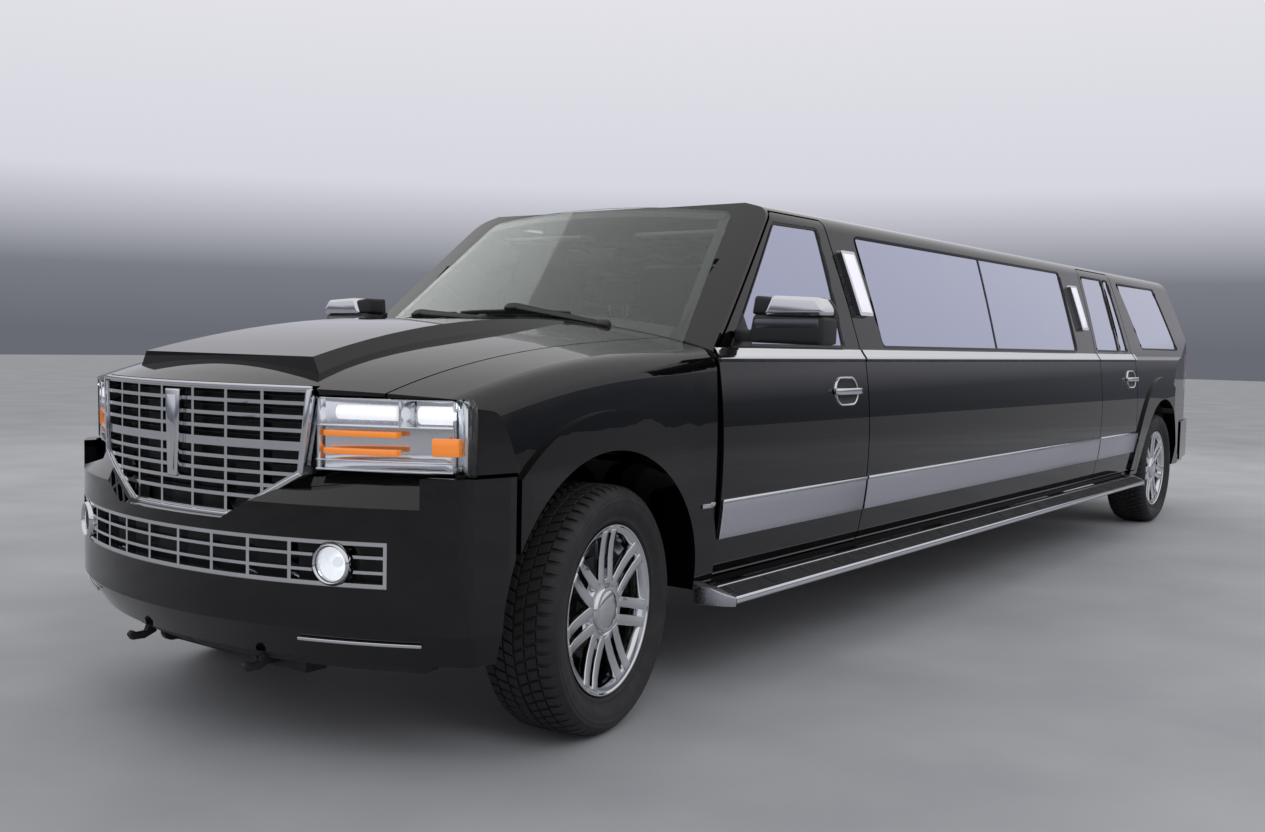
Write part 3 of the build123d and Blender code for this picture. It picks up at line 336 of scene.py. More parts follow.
# axial place and radius of the outside of one half, from the bead to the middle of the crown
CARCASS = [(0.0970, 0.2505), (0.0985, 0.2680), (0.1020, 0.2790), (0.1120, 0.2835), (0.1170, 0.2885),
           (0.1185, 0.2930), (0.1175, 0.2975), (0.1190, 0.3030), (0.1270, 0.3150), (0.1340, 0.3290),
           (0.1370, 0.3440), (0.1370, 0.3560), (0.1378, 0.3575), (0.1372, 0.3590), (0.1340, 0.3700),
           (0.1345, 0.3715), (0.1330, 0.3730), (0.1260, 0.3830), (0.1160, 0.3895), (0.1040, 0.3925),
           (0.0700, 0.3950), (0.0000, 0.3960)]
# row of lugs: inner edge, outer edge, how far it slants, how far round it sits, radius of its top
LUG_ROWS = [(0.0045, 0.0340, 0.013, 0.000, 0.4042), (0.0400, 0.0760, 0.012, 0.019, 0.4036)]
SHOULDER_ROUND_BY = 0.038
SHOULDER_LUG = [(0.0820, 0.4032), (0.1040, 0.3995), (0.1180, 0.3915), (0.1270, 0.3800), (0.1225, 0.3750),
                (0.1000, 0.3880), (0.0820, 0.3900)]


def pick(*pieces):
    """Selects these pieces and nothing else; the first is active."""
    bpy.ops.object.select_all(action="DESELECT")
    for piece in pieces:
        piece.select_set(True)
    bpy.context.view_layer.objects.active = pieces[0]


def settle(piece):
    """Puts a piece's place, turn and size into its mesh."""
    pick(piece)
    bpy.ops.object.transform_apply(location=True, rotation=True, scale=True)
    return piece


def removed(*pieces):
    """Deletes pieces that only served as patterns."""
    for piece in pieces:
        bpy.data.objects.remove(piece)


def modified(piece, kind, **settings):
    """Adds a modifier with these settings and applies it."""
    pick(piece)
    change = piece.modifiers.new(kind.lower(), kind)
    for key, value in settings.items():
        setattr(change, key, value)
    bpy.ops.object.modifier_apply(modifier=change.name)
    return piece


def rounded(piece, width, segments=2, **limits):
    """Rounds a piece's sharp edges."""
    return modified(piece, "BEVEL", width=width, segments=segments, limit_method="ANGLE", **limits)


def opened(piece):
    """Opens a piece's mesh for editing, with all of it selected."""
    pick(piece)
    bpy.ops.object.mode_set(mode="EDIT")
    bpy.ops.mesh.select_all(action="SELECT")


def cleaned(piece):
    """Merges doubled points and turns every face outwards."""
    opened(piece)
    bpy.ops.mesh.remove_doubles(threshold=TOUCHING)
    bpy.ops.mesh.normals_make_consistent(inside=False)
    bpy.ops.object.mode_set(mode="OBJECT")
    return piece


def drawn(name, corners, filled=True):
    """Outline drawn by carrying one point from corner to corner, filled with one face."""
    bpy.ops.object.select_all(action="DESELECT")
    bpy.ops.mesh.primitive_plane_add(size=0.01, location=(0, 0, 0))
    piece = bpy.context.object
    piece.name = name
    bpy.ops.object.mode_set(mode="EDIT")
    bpy.ops.mesh.select_all(action="SELECT")
    bpy.ops.mesh.merge(type="CENTER")
    bpy.ops.transform.translate(value=corners[0])
    for start, end in zip(corners, corners[1:]):
        step = Vector(end) - Vector(start)
        bpy.ops.mesh.extrude_region_move(TRANSFORM_OT_translate={"value": step})
    if filled:
        bpy.ops.mesh.select_all(action="SELECT")
        bpy.ops.mesh.edge_face_add()
    bpy.ops.object.mode_set(mode="OBJECT")
    return piece


def extruded(piece, way):
    """Gives a drawn face its thickness."""
    opened(piece)
    bpy.ops.mesh.extrude_region_move(TRANSFORM_OT_translate={"value": way})
    bpy.ops.object.mode_set(mode="OBJECT")
    return cleaned(piece)


def slab(name, corners, way):
    """Outline filled and given its thickness."""
    return extruded(drawn(name, corners), way)


def side_slab(name, outline, y0, y1):
    """Outline of (x, z) points, filled and drawn across the vehicle from one place to another."""
    return slab(name, [(x, y0, z) for x, z in outline], (0, y1 - y0, 0))


def cross_slab(name, outline, x0, x1):
    """Outline of (y, z) points, filled and drawn along the vehicle from one place to another."""
    return slab(name, [(x0, y, z) for y, z in outline], (x1 - x0, 0, 0))


def spun(name, profile, steps):
    """Closed profile of (axial place, radius) points, spun once round the X axis."""
    piece = drawn(name, [(x, 0, radius) for x, radius in profile + profile[:1]], filled=False)
    opened(piece)
    bpy.ops.mesh.remove_doubles(threshold=TOUCHING)
    bpy.ops.mesh.spin(steps=steps, angle=2 * pi, center=(0, 0, 0), axis=(1, 0, 0))
    bpy.ops.object.mode_set(mode="OBJECT")
    return cleaned(piece)


def set_round(piece, count):
    """Repeats a piece evenly round the X axis."""
    opened(piece)
    bpy.ops.mesh.spin(steps=count - 1, angle=2 * pi * (count - 1) / count, center=(0, 0, 0), axis=(1, 0, 0),
                      dupli=True)
    bpy.ops.object.mode_set(mode="OBJECT")
    return piece


def joined(name, *pieces):
    """Joins pieces into the first one."""
    pick(*pieces)
    bpy.ops.object.join()
    pieces[0].name = name
    return pieces[0]


def copied(piece, name, place=Matrix()):
    """Copy with a mesh of its own, carried to its place."""
    made = piece.copy()
    made.data = piece.data.copy()
    made.name = name
    bpy.context.collection.objects.link(made)
    made.matrix_world = place @ made.matrix_world
    return settle(made)


def mirrored(piece, name, axis="Y"):
    """Copy on the other side of the object, or of a wheel's middle plane, faces outward."""
    sizes = [-1 if axis == way else 1 for way in "XYZ"]
    return cleaned(copied(piece, name, Matrix.Diagonal((*sizes, 1))))


def finished(piece, finish, body, slot, *replaced, angle=SMOOTH_BELOW):
    """Last step of a piece: finish, shading, and what it rides on and stands for."""
    piece.data.materials.clear()
    piece.data.materials.append(finish)
    pick(piece)
    bpy.ops.object.shade_smooth_by_angle(angle=radians(angle))
    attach(piece, body)
    if replaced:
        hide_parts(*replaced)
    return piece


def wheel_place(end, side):
    """Carries a wheel that was made round X, its outer face along +X, to its corner."""
    turn = Matrix.Rotation(radians(90 * side), 4, "Z")
    if end == "front":
        steer = Matrix.Rotation(radians(STEER_DEGREES), 4, "Z")
        out = Matrix.Translation((0, side * (WHEEL_Y - KINGPIN_Y), 0))
        return Matrix.Translation((AXLE_X[end], side * KINGPIN_Y, TYRE_RADIUS)) @ steer @ out @ turn
    return Matrix.Translation((AXLE_X[end], side * WHEEL_Y, TYRE_RADIUS)) @ turn


CORNERS = [(end, name, side) for end in ("front", "rear") for name, side in SIDES]

lugs = []
for inner, outer, slant, round_by, top in LUG_ROWS:
    face = drawn("lug", [(inner, -LUG_HALF - slant / 2, LUG_FOOT), (inner, LUG_HALF - slant / 2, LUG_FOOT),
                         (outer, LUG_HALF + slant / 2, LUG_FOOT), (outer, slant / 2 - LUG_HALF, LUG_FOOT)])
    lug = extruded(face, (0, 0, top - LUG_FOOT))
    lug.rotation_euler.x = -round_by / TYRE_RADIUS
    lugs.append(settle(lug))
shoulder = slab("shoulder_lug", [(x, -LUG_HALF, radius) for x, radius in SHOULDER_LUG],
                (0, 2 * LUG_HALF - 0.003, 0))
shoulder.rotation_euler.x = -SHOULDER_ROUND_BY / TYRE_RADIUS
lugs.append(settle(shoulder))
half_pattern = rounded(joined("lugs", *lugs), 0.0011, 1)
other_half = mirrored(half_pattern, "other_lugs", "X")
other_half.rotation_euler.x = pi / LUGS_ROUND
pattern = set_round(joined("tread", half_pattern, settle(other_half)), LUGS_ROUND)
outline = CARCASS + [(-x, radius) for x, radius in CARCASS[-2::-1]]
tyre = joined("tyre", spun("carcass", outline, TYRE_STEPS), pattern)
for end, name, side in CORNERS:
    left_turn = Matrix.Rotation(pi if side < 0 else 0, 4, "Z")
    made = copied(tyre, f"tread_tyre_{end}_{name}", wheel_place(end, side) @ left_turn)
    finished(made, tyre_rubber, f"wheel_{end}_{name}", "tyre_rubber", f"tyre_{end}_{name}")
removed(tyre)


# Wheels: cast aluminium, machined and chrome-plated, seven pairs of flat spokes in a polished
# barrel, with a plain pressed cap over the nuts. A cast-iron brake disc is bolted on behind each.

SPOKE_PAIRS = 7
SPOKE_WIDTH = 0.036
SPOKE_APART = 0.029
SPOKE_SIDE = [(0.0970, 0.085), (0.0945, 0.120), (0.0955, 0.170), (0.1000, 0.215), (0.1065, 0.244),
              (0.1095, 0.258), (0.0990, 0.262), (0.0800, 0.250), (0.0740, 0.200), (0.0700, 0.140),
              (0.0660, 0.085)]
BARREL = [(-0.1140, 0.2400), (-0.1140, 0.2620), (-0.1100, 0.2640), (-0.1010, 0.2620), (-0.0990, 0.2497),
          (0.0970, 0.2497), (0.0990, 0.2640), (0.1060, 0.2755), (0.1100, 0.2765), (0.1130, 0.2755),
          (0.1125, 0.2715), (0.1085, 0.2680), (0.1065, 0.2600), (0.1030, 0.2500), (0.0920, 0.2440),
          (0.0500, 0.2400), (-0.0500, 0.2380)]
HUB_BOSS = [(0.0160, 0.0000), (0.0160, 0.0760), (0.0600, 0.0980), (0.0860, 0.1020), (0.0930, 0.0990),
            (0.0955, 0.0930), (0.0950, 0.0850), (0.0920, 0.0810), (0.0925, 0.0790), (0.1000, 0.0765),
            (0.1040, 0.0730), (0.1052, 0.0640), (0.1042, 0.0600), (0.1065, 0.0560), (0.1100, 0.0300),
            (0.1108, 0.0000)]
BRAKE_DISC = [(0.0160, 0.0700), (0.0160, 0.1640), (0.0175, 0.1650), (0.0260, 0.1650), (0.0260, 0.1500),
              (0.0320, 0.1500), (0.0320, 0.1650), (0.0385, 0.1650), (0.0400, 0.1640), (0.0400, 0.0980),
              (0.0580, 0.0940), (0.0600, 0.0700)]

# brown-grey metal with fine turning marks
cast_iron = material("turned_cast_iron", "#5b5855", metallic=1.0, roughness=0.45)
patchy(cast_iron, 0.35, 0.6, 3.0, 2.0)

spoke = rounded(slab("spoke", [(x, SPOKE_APART - SPOKE_WIDTH / 2, radius) for x, radius in SPOKE_SIDE],
                     (0, SPOKE_WIDTH, 0)), 0.0035, 3)
web = slab("web", [(0.060, -0.03, 0.080), (0.084, -0.03, 0.080), (0.080, -0.03, 0.128), (0.066, -0.03, 0.128)],
           (0, 0.06, 0))
pair = set_round(joined("spokes", spoke, mirrored(spoke, "other_spoke"), web), SPOKE_PAIRS)
rim = joined("rim", spun("barrel", BARREL, 120), spun("hub_boss", HUB_BOSS, 72), pair)
disc = spun("disc", BRAKE_DISC, 72)
for end, name, side in CORNERS:
    place = wheel_place(end, side)
    finished(copied(rim, f"plated_wheel_{end}_{name}", place), chrome, f"wheel_{end}_{name}", "chrome",
             f"wheel_{end}_{name}", angle=30)
    finished(copied(disc, f"brake_disc_{end}_{name}", place), cast_iron, f"wheel_{end}_{name}", "cast_metal",
             f"wheel_{end}_{name}")
removed(rim, disc)


# Grille shade: black sheets behind both chrome lattices, painted shade that stands for the dark between the
# bars, so that nothing of the radiator shows between them. Fine level vanes run across the upper sheet.

NOSE_X = 4.450
NOSE_RADIUS = 1.646
GRILLE_OUTLINE = [(-0.528, 1.118), (-0.501, 0.872), (-0.261, 0.736), (0.261, 0.736), (0.501, 0.872),
                  (0.528, 1.118)]
GRILLE_VANES = [0.800, 0.850, 0.887, 0.928, 0.972, 1.014, 1.054, 1.092]
VANE_HALF = 0.002
LOWER_HALF = 0.778
LOWER_NOSE_X = NOSE_X + 0.05


def nose_arc(front, y):
    """Place along X of the nose's arc, whose middle is at this front."""
    return front - NOSE_RADIUS + (NOSE_RADIUS ** 2 - y ** 2) ** 0.5


def on_arc(piece, front):
    """Carries a piece that was made flat at X = 0 back onto the nose's arc."""
    for point in piece.data.vertices:
        point.co.x += nose_arc(front, point.co.y)
    return piece


def cut_across(piece, axis, places):
    """Cuts a piece by planes, so that it can follow a curve."""
    opened(piece)
    normal = [1.0 if axis == way else 0.0 for way in "XYZ"]
    for place in places:
        bpy.ops.mesh.select_all(action="SELECT")
        bpy.ops.mesh.bisect(plane_co=[place * part for part in normal], plane_no=normal)
    bpy.ops.object.mode_set(mode="OBJECT")
    return piece


def bar(name, low, high):
    """Bar between two corners, as a scaled block that still gets its edges and its curve."""
    bpy.ops.object.select_all(action="DESELECT")
    middle = [(a + b) / 2 for a, b in zip(low, high)]
    bpy.ops.mesh.primitive_cube_add(size=1, location=middle)
    piece = bpy.context.object
    piece.name = name
    piece.scale = [b - a for a, b in zip(low, high)]
    return settle(piece)


def steps_between(low, high, count):
    """Evenly spaced places between two ends, without the ends."""
    return [low + (high - low) * index / count for index in range(1, count)]


# black sheet and vanes behind the upper grille: painted shade between its bars
upper_shade_sheet = cross_slab("grille_shade_sheet", GRILLE_OUTLINE, -0.075, -0.069)
vanes = [bar("vane", (-0.070, -0.50, z - VANE_HALF), (-0.045, 0.50, z + VANE_HALF)) for z in GRILLE_VANES]
upper_shade_sheet = joined("grille_shade_sheet", upper_shade_sheet, *vanes)
on_arc(cut_across(upper_shade_sheet, "Y", steps_between(-0.53, 0.53, 24)), NOSE_X)
finished(upper_shade_sheet, black_plastic, "body", "trim_black")
# black sheet behind the lower grille: painted shade between its bars
lower_shade_sheet = bar("lower_grille_shade_sheet", (-0.085, -LOWER_HALF, 0.555), (-0.078, LOWER_HALF, 0.702))
on_arc(cut_across(lower_shade_sheet, "Y", steps_between(-LOWER_HALF, LOWER_HALF, 30)), LOWER_NOSE_X)
finished(lower_shade_sheet, black_plastic, "body", "trim_black")


# Grille post and lip: the upright chrome post in the middle of the grille, with a raised field on
# it, and the bright lip round the top and sides. Both are moulded, plated and clipped on.

SPINE = [(-0.036, 1.100), (-0.024, 0.834), (0.024, 0.834), (0.036, 1.100)]
SPINE_FIELD = [(-0.022, 1.082), (-0.013, 0.852), (0.013, 0.852), (0.022, 1.082)]
LIP_HALF = 0.007
spine = rounded(cross_slab("spine", SPINE, 0, 0.016), 0.005, 3)
field = rounded(cross_slab("field", SPINE_FIELD, 0, 0.0195), 0.003)
finished(on_arc(joined("grille_spine", spine, field), NOSE_X + 0.002), chrome, "body", "chrome")

lip_faces = []
for (y0, z0), (y1, z1) in zip(GRILLE_OUTLINE, GRILLE_OUTLINE[1:]):
    span = hypot(y1 - y0, z1 - z0)
    across = Vector((0, -(z1 - z0) / span, (y1 - y0) / span)) * LIP_HALF
    face = drawn("lip", [Vector((0.0, y0, z0)) + across, Vector((0.0, y1, z1)) + across,
                         Vector((0.0, y1, z1)) - across, Vector((0.0, y0, z0)) - across])
    lip = extruded(face, (0.013, 0, 0))
    lip_faces.append(rounded(lip, 0.004))
top_lip = bar("top_lip", (0.0, -0.532, 1.111), (0.013, 0.532, 1.125))
lip_faces.append(rounded(top_lip, 0.004))
grille_lip = cut_across(joined("grille_lip", *lip_faces), "Y", steps_between(-0.52, 0.52, 22))
finished(on_arc(grille_lip, NOSE_X - 0.001), chrome, "body", "chrome")


# Headlamps: clear polycarbonate covers welded on chromed reflector housings, each with a fluted
# tube lamp on top, two amber bars in a U below it, and an amber marker at the outer corner.

LENS_WALL = 0.004
LAMP_CORNER_X = 4.10
FACES_ON = 0.25
FACES_SIDE = 0.5
# orange plastic that glows a little, as lit by the lamp behind it
amber = material("amber_acrylic", "#f08a34", roughness=0.12, coat_weight=0.6, emission_color=linear("#f08a34"),
                 emission_strength=0.25)
patchy(amber, 0.1, 0.3, 5.0, 2.0)
# almost clear, with thin highlights
lamp_glass = material("moulded_polycarbonate", "#f4f7f8", roughness=0.02, transmission_weight=1.0, ior=1.3)
# soft mirror, rippled like plated plastic
reflector = material("vacuum_metallised_plastic", "#e6e8ec", metallic=1.0, roughness=0.16)
bumpy(reflector, 0.25, 1.2, 22.0, 1.0, (1, 3, 1))
# milky white ribs that seem lit from inside; the ribs are drawn coarser than the real ones
pearl = material("frosted_lamp_tube", "#dfe2ee", roughness=0.25, emission_color=linear("#ffffff"),
                 emission_strength=0.55)
relief(pearl, waves(pearl, 9.0, "Y"), 0.6, 1.0)


def front_faces(source, name, keep, wall):
    """Outside of a CAD solid as a thin shell: its faces that look the way that keep allows."""
    piece = copied(nodes[source], name)
    opened(piece)
    bpy.ops.mesh.remove_doubles(threshold=TOUCHING)
    bpy.ops.mesh.select_all(action="DESELECT")
    bpy.ops.object.mode_set(mode="OBJECT")
    for face in piece.data.polygons:
        face.select = not keep(face.center, face.normal)
    bpy.ops.object.mode_set(mode="EDIT")
    bpy.ops.mesh.select_mode(type="FACE")
    bpy.ops.mesh.delete(type="FACE")
    bpy.ops.mesh.select_mode(type="VERT")
    bpy.ops.object.mode_set(mode="OBJECT")
    return modified(piece, "SOLIDIFY", thickness=wall, offset=-1.0)


def looks_aside(place, normal):
    """Whether a face looks away from the vehicle's middle plane."""
    return abs(normal.y) > FACES_SIDE and normal.y * place.y > 0


def faces_outward(place, normal):
    """A lamp's cover: faces on the nose's arc and corner, not its flat top, bottom and back."""
    return normal.x > FACES_ON or looks_aside(place, normal) and place.x > LAMP_CORNER_X


lens = front_faces("headlamps", "headlamp_lens", faces_outward, LENS_WALL)
finished(lens, lamp_glass, "body", "lamp_clear", "headlamps", angle=30)


def behind_lens(y, back):
    """Place along X of a point this far behind the lamp's cover."""
    return nose_arc(NOSE_X, y) - back


def on_both_sides(piece, name, finish, slot, body="body", replaced=(), angle=SMOOTH_BELOW):
    """Finishes a left-hand piece and its mirror image on the right. A body's name may end in a side."""
    other = mirrored(piece, f"{name}_right")
    piece.name = f"{name}_left"
    for made, side in ((piece, "left"), (other, "right")):
        carrier = body if body in frame["bodies"] else f"{body}_{side}"
        stands_for = [f"{node}_{side}" for node in replaced]
        finished(made, finish, carrier, slot, *stands_for, angle=angle)


# these place the left lamp's parts: across, up, and back from the cover
BOWL_LOW = 0.883
BOWL_HIGH = 1.094
BOWL_BACK = [(0.520, 0.030), (0.60, 0.060), (0.72, 0.075), (0.84, 0.075), (0.925, 0.030)]
BOWL_WALL = 0.020
SHELF_ENDS = (0.520 + 0.01, 0.60, 0.72, 0.84, 0.925 - 0.025)
# height, depth and thickness of each shelf
SHELVES = [(0.886, 0.060, 0.006), (0.9140, 0.045, 0.004), (1.0120, 0.050, 0.005), (1.090, 0.055, 0.005)]
# place across and foot of each upright
POSTS = [(0.535, 0.889), (0.765, 1.012), (0.90, 0.889)]
# inner end, outer end, height and radius of each tube
TUBES = [(0.575, 0.745, 1.053, 0.021), (0.800, 0.895, 1.050, 0.026)]
# places across, foot, height, and the ways back of the front and rear of each amber bar and the marker
AMBERS = [((0.550, 0.62, 0.70, 0.755), 0.932, 0.018, 0.016, 0.040),
          ((0.550, 0.62, 0.70, 0.755), 0.983, 0.018, 0.016, 0.040),
          ((0.850, 0.885, 0.915), 0.935, 0.052, 0.010, 0.026)]


def lamp_slab(name, places, foot, height, front, rear):
    """Block that follows the lamp's cover across, between two ways back from it."""
    corners = [(behind_lens(y, front), y, foot) for y in places]
    corners += [(behind_lens(y, rear), y, foot) for y in reversed(places)]
    return slab(name, corners, (0, 0, height))


def lamp_side():
    """The left lamp's housing, tube, amber bars and marker, and their mirror images."""
    corners = [(behind_lens(y, back), y, BOWL_LOW) for y, back in BOWL_BACK]
    corners += [(behind_lens(y, back) - BOWL_WALL, y, BOWL_LOW) for y, back in reversed(BOWL_BACK)]
    bowl = slab("bowl", corners, (0, 0, BOWL_HIGH - BOWL_LOW))
    shelves = [lamp_slab("shelf", SHELF_ENDS, z, thick, 0.012, 0.012 + depth) for z, depth, thick in SHELVES]
    posts = [bar("post", (behind_lens(y, 0.070), y - 0.004, foot), (behind_lens(y, 0.014), y + 0.004, 1.092))
             for y, foot in POSTS]
    housing = rounded(joined("housing", bowl, *shelves, *posts), 0.002)
    on_both_sides(housing, "headlamp_housing", reflector, "chrome")
    tubes = []
    for y0, y1, z, radius in TUBES:
        x0, x1 = behind_lens(y0, 0.040), behind_lens(y1, 0.040)
        length = hypot(x1 - x0, y1 - y0)
        bpy.ops.object.select_all(action="DESELECT")
        bpy.ops.mesh.primitive_cylinder_add(vertices=28, radius=radius, depth=length,
                                            location=((x0 + x1) / 2, (y0 + y1) / 2, z))
        tube = bpy.context.object
        tube.rotation_euler = Vector((x1 - x0, y1 - y0, 0)).to_track_quat("Z", "Y").to_euler()
        tubes.append(rounded(settle(tube), 0.006, 3))
    on_both_sides(joined("tube", *tubes), "headlamp_tube", pearl, "lamp_white")
    ambers = rounded(joined("ambers", *[lamp_slab("amber_bar", *shape) for shape in AMBERS]), 0.003)
    on_both_sides(ambers, "headlamp_ambers", amber, "lamp_clear")


lamp_side()


# Fog lamps: round glass lenses in chrome rings, clipped into the lower grille.

FOG_Y = 0.629
FOG_Z = 0.627
FOG_RING = [(0.004, 0.0480), (0.012, 0.0500), (0.016, 0.0545), (0.012, 0.0590), (0.000, 0.0620),
            (-0.045, 0.0620), (-0.045, 0.0440), (-0.030, 0.0440)]
FOG_LENS = [(-0.020, 0.0000), (-0.020, 0.0485), (0.000, 0.0485), (0.006, 0.0440), (0.011, 0.0300),
            (0.0135, 0.0150), (0.0142, 0.0000)]
FOG_BOWL = [(-0.044, 0.0000), (-0.044, 0.0450), (-0.021, 0.0470), (-0.021, 0.0440), (-0.032, 0.0300),
            (-0.038, 0.0160), (-0.030, 0.0140), (-0.028, 0.0000)]
FOG_SWING = 0.30
FOG_PARTS = [("ring", FOG_RING, chrome, "chrome"), ("lens", FOG_LENS, lamp_glass, "lamp_clear"),
             ("bowl", FOG_BOWL, pearl, "lamp_white")]
for name, sign in SIDES:
    swing = Matrix.Rotation(sign * FOG_SWING, 4, "Z")
    place = Matrix.Translation((nose_arc(LOWER_NOSE_X, FOG_Y) - 0.005, sign * FOG_Y, FOG_Z)) @ swing
    for part, profile, finish, slot in FOG_PARTS:
        pattern = spun("fog_part", profile, 48)
        made = finished(copied(pattern, f"fog_lamp_{part}_{name}", place), finish, "body", slot)
        removed(pattern)
        if made.name == "fog_lamp_ring_left":
            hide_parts("fog_lamps")


# Bumper trim: a bright moulding at each end of the chin, a black valance below it, and two black
# tow hooks.

CHIN_FRONT = 4.485
CHIN_ENDS = (0.52, 0.86)
VALANCE_FRONT = 4.42
VALANCE_HALF = 0.80
VALANCE = [(-0.10, 0.338), (-0.005, 0.338), (-0.022, 0.318), (-0.045, 0.300), (-0.10, 0.300)]
HOOK_Y = 0.300
chin = rounded(bar("bumper_bright_line", (-0.002, CHIN_ENDS[0], 0.398), (0.005, CHIN_ENDS[1], 0.408)), 0.003)
on_arc(cut_across(chin, "Y", steps_between(*CHIN_ENDS, 12)), CHIN_FRONT)
on_both_sides(chin, "bumper_bright_line", chrome, "chrome")
half_valance = rounded(side_slab("valance", VALANCE, 0, VALANCE_HALF), 0.006)
whole = joined("front_valance", half_valance, mirrored(half_valance, "other_valance"))
on_arc(cut_across(whole, "Y", steps_between(-VALANCE_HALF, VALANCE_HALF, 36)), VALANCE_FRONT)
finished(whole, black_plastic, "body", "trim_black")
HOOK = [(4.340, 0.315), (4.330, 0.285), (4.375, 0.268), (4.420, 0.270), (4.432, 0.290), (4.418, 0.302),
        (4.400, 0.292), (4.370, 0.292), (4.360, 0.315)]
for name, sign in SIDES:
    hook = rounded(side_slab("hook", HOOK, sign * HOOK_Y - 0.011, sign * HOOK_Y + 0.011), 0.005, 3)
    hook.name = f"tow_hook_{name}"
    finished(hook, underbody_enamel, "body", "underbody")


# Belt mouldings: bright stainless strips clipped along the foot of the windows, parted at the doors,
# each with a black rubber lip under it. They follow the body's side, as everything below does.

SIDE_LOW = [(0.945, 0.400), (1.000, 0.800), (0.972, 1.215)]
SIDE_HIGH = [(0.948, 1.240), (0.877, 1.5245), (0.795, 1.815)]
DOOR_ENDS = {"front_door": (2.905, 1.754), "body": (1.734, -1.654), "rear_door": (-1.674, -2.496)}
BELT_TAIL = (-2.516, -2.560)
BELT_SECTION = [(0.0004, 1.2150), (0.0045, 1.2155), (0.0090, 1.2200), (0.0105, 1.2300), (0.0100, 1.2460),
                (0.0075, 1.2540), (0.0030, 1.2575), (0.0004, 1.2575)]
LIP_SECTION = [(0.0002, 1.2050), (0.0030, 1.2060), (0.0038, 1.2100), (0.0030, 1.2145), (0.0002, 1.2145)]


def bulge(three, z):
    """Half width at a height, on the circle through three (half width, height) points."""
    (y0, z0), (y1, z1), (y2, z2) = three
    s0, s1, s2 = (y * y + h * h for y, h in three)
    twice = 2 * (y0 * (z1 - z2) + y1 * (z2 - z0) + y2 * (z0 - z1))
    middle_y = (s0 * (z1 - z2) + s1 * (z2 - z0) + s2 * (z0 - z1)) / twice
    middle_z = (s0 * (y2 - y1) + s1 * (y0 - y2) + s2 * (y1 - y0)) / twice
    return middle_y + (hypot(y0 - middle_y, z0 - middle_z) ** 2 - (z - middle_z) ** 2) ** 0.5


def side_y(z):
    """Half width of the body's side at a height."""
    if z < SIDE_LOW[2][1]:
        return bulge(SIDE_LOW, z)
    if z < SIDE_HIGH[0][1]:
        (y0, z0), (y1, z1) = SIDE_LOW[2], SIDE_HIGH[0]
        return y0 + (y1 - y0) * (z - z0) / (z1 - z0)
    return bulge(SIDE_HIGH, z)


def beside(piece, out):
    """Carries a piece made flat at Y = 0 out to the body's left side, this far proud of it."""
    for point in piece.data.vertices:
        point.co.y += side_y(point.co.z) + out
    return piece


def outside_of(*names):
    """Search tree of CAD nodes, to lay pieces on them."""
    corners = []
    faces = []
    for name in names:
        mesh = nodes[name].data
        first = len(corners)
        corners += [point.co.copy() for point in mesh.vertices]
        faces += [[first + corner for corner in face.vertices] for face in mesh.polygons]
    return BVHTree.FromPolygons(corners, faces)


def laid_on(piece, tree, out=0.0):
    """Carries a piece made flat at Y = 0 out onto the left side of CAD nodes, this far proud of them."""
    for point in piece.data.vertices:
        hit = tree.ray_cast(Vector((point.co.x, 2.0, point.co.z)), Vector((0, -1, 0)))[0]
        point.co.y += out + (hit.y if hit else side_y(point.co.z))
    return piece


def lengthwise(name, section, ends):
    """Moulding of an (out, height) section on the left side, between two places along X."""
    face = drawn(name, [(ends[0], side_y(z) + out, z) for out, z in section])
    return extruded(face, (ends[1] - ends[0], 0, 0))


for carrier, ends in DOOR_ENDS.items():
    label = carrier.replace("body", "cabin")
    on_both_sides(lengthwise("moulding", BELT_SECTION, ends), f"belt_moulding_{label}", chrome, "chrome",
                  carrier, angle=50)
    on_both_sides(lengthwise("lip", LIP_SECTION, ends), f"belt_lip_{label}", tyre_rubber, "trim_black", carrier)
on_both_sides(lengthwise("moulding", BELT_SECTION, BELT_TAIL), "belt_moulding_quarter", chrome, "chrome",
              angle=50)


# Lower side panels: brushed stainless sheet with a polished bead along the top and down the front
# end, riveted over the doors and the stretched side, and a short bright bar on each front fender.

PANEL_LOW = 0.566
PANEL_HIGH = 0.697
PANEL_PROUD = 0.006
BEAD_SECTION = [(0.0, PANEL_HIGH - 0.002), (0.009, PANEL_HIGH), (0.012, PANEL_HIGH + 0.007),
                (0.009, PANEL_HIGH + 0.014), (0.0, PANEL_HIGH + 0.016)]
FLARE_EDGE = 0.680
ARCH_HEIGHT = 0.420
FENDER_BAR = (2.935, 3.035)
BRUSHED_GRAIN = (1.6, 3.0, (0.012, 1, 1))
# silver drawn out in fine level lines, which are coarser here than on the sheet
brushed = material("brushed_stainless", "#c3c4cd", metallic=1.0, roughness=0.36)
patchy(brushed, 0.30, 0.46, *BRUSHED_GRAIN)
bumpy(brushed, 0.12, 0.06, *BRUSHED_GRAIN)

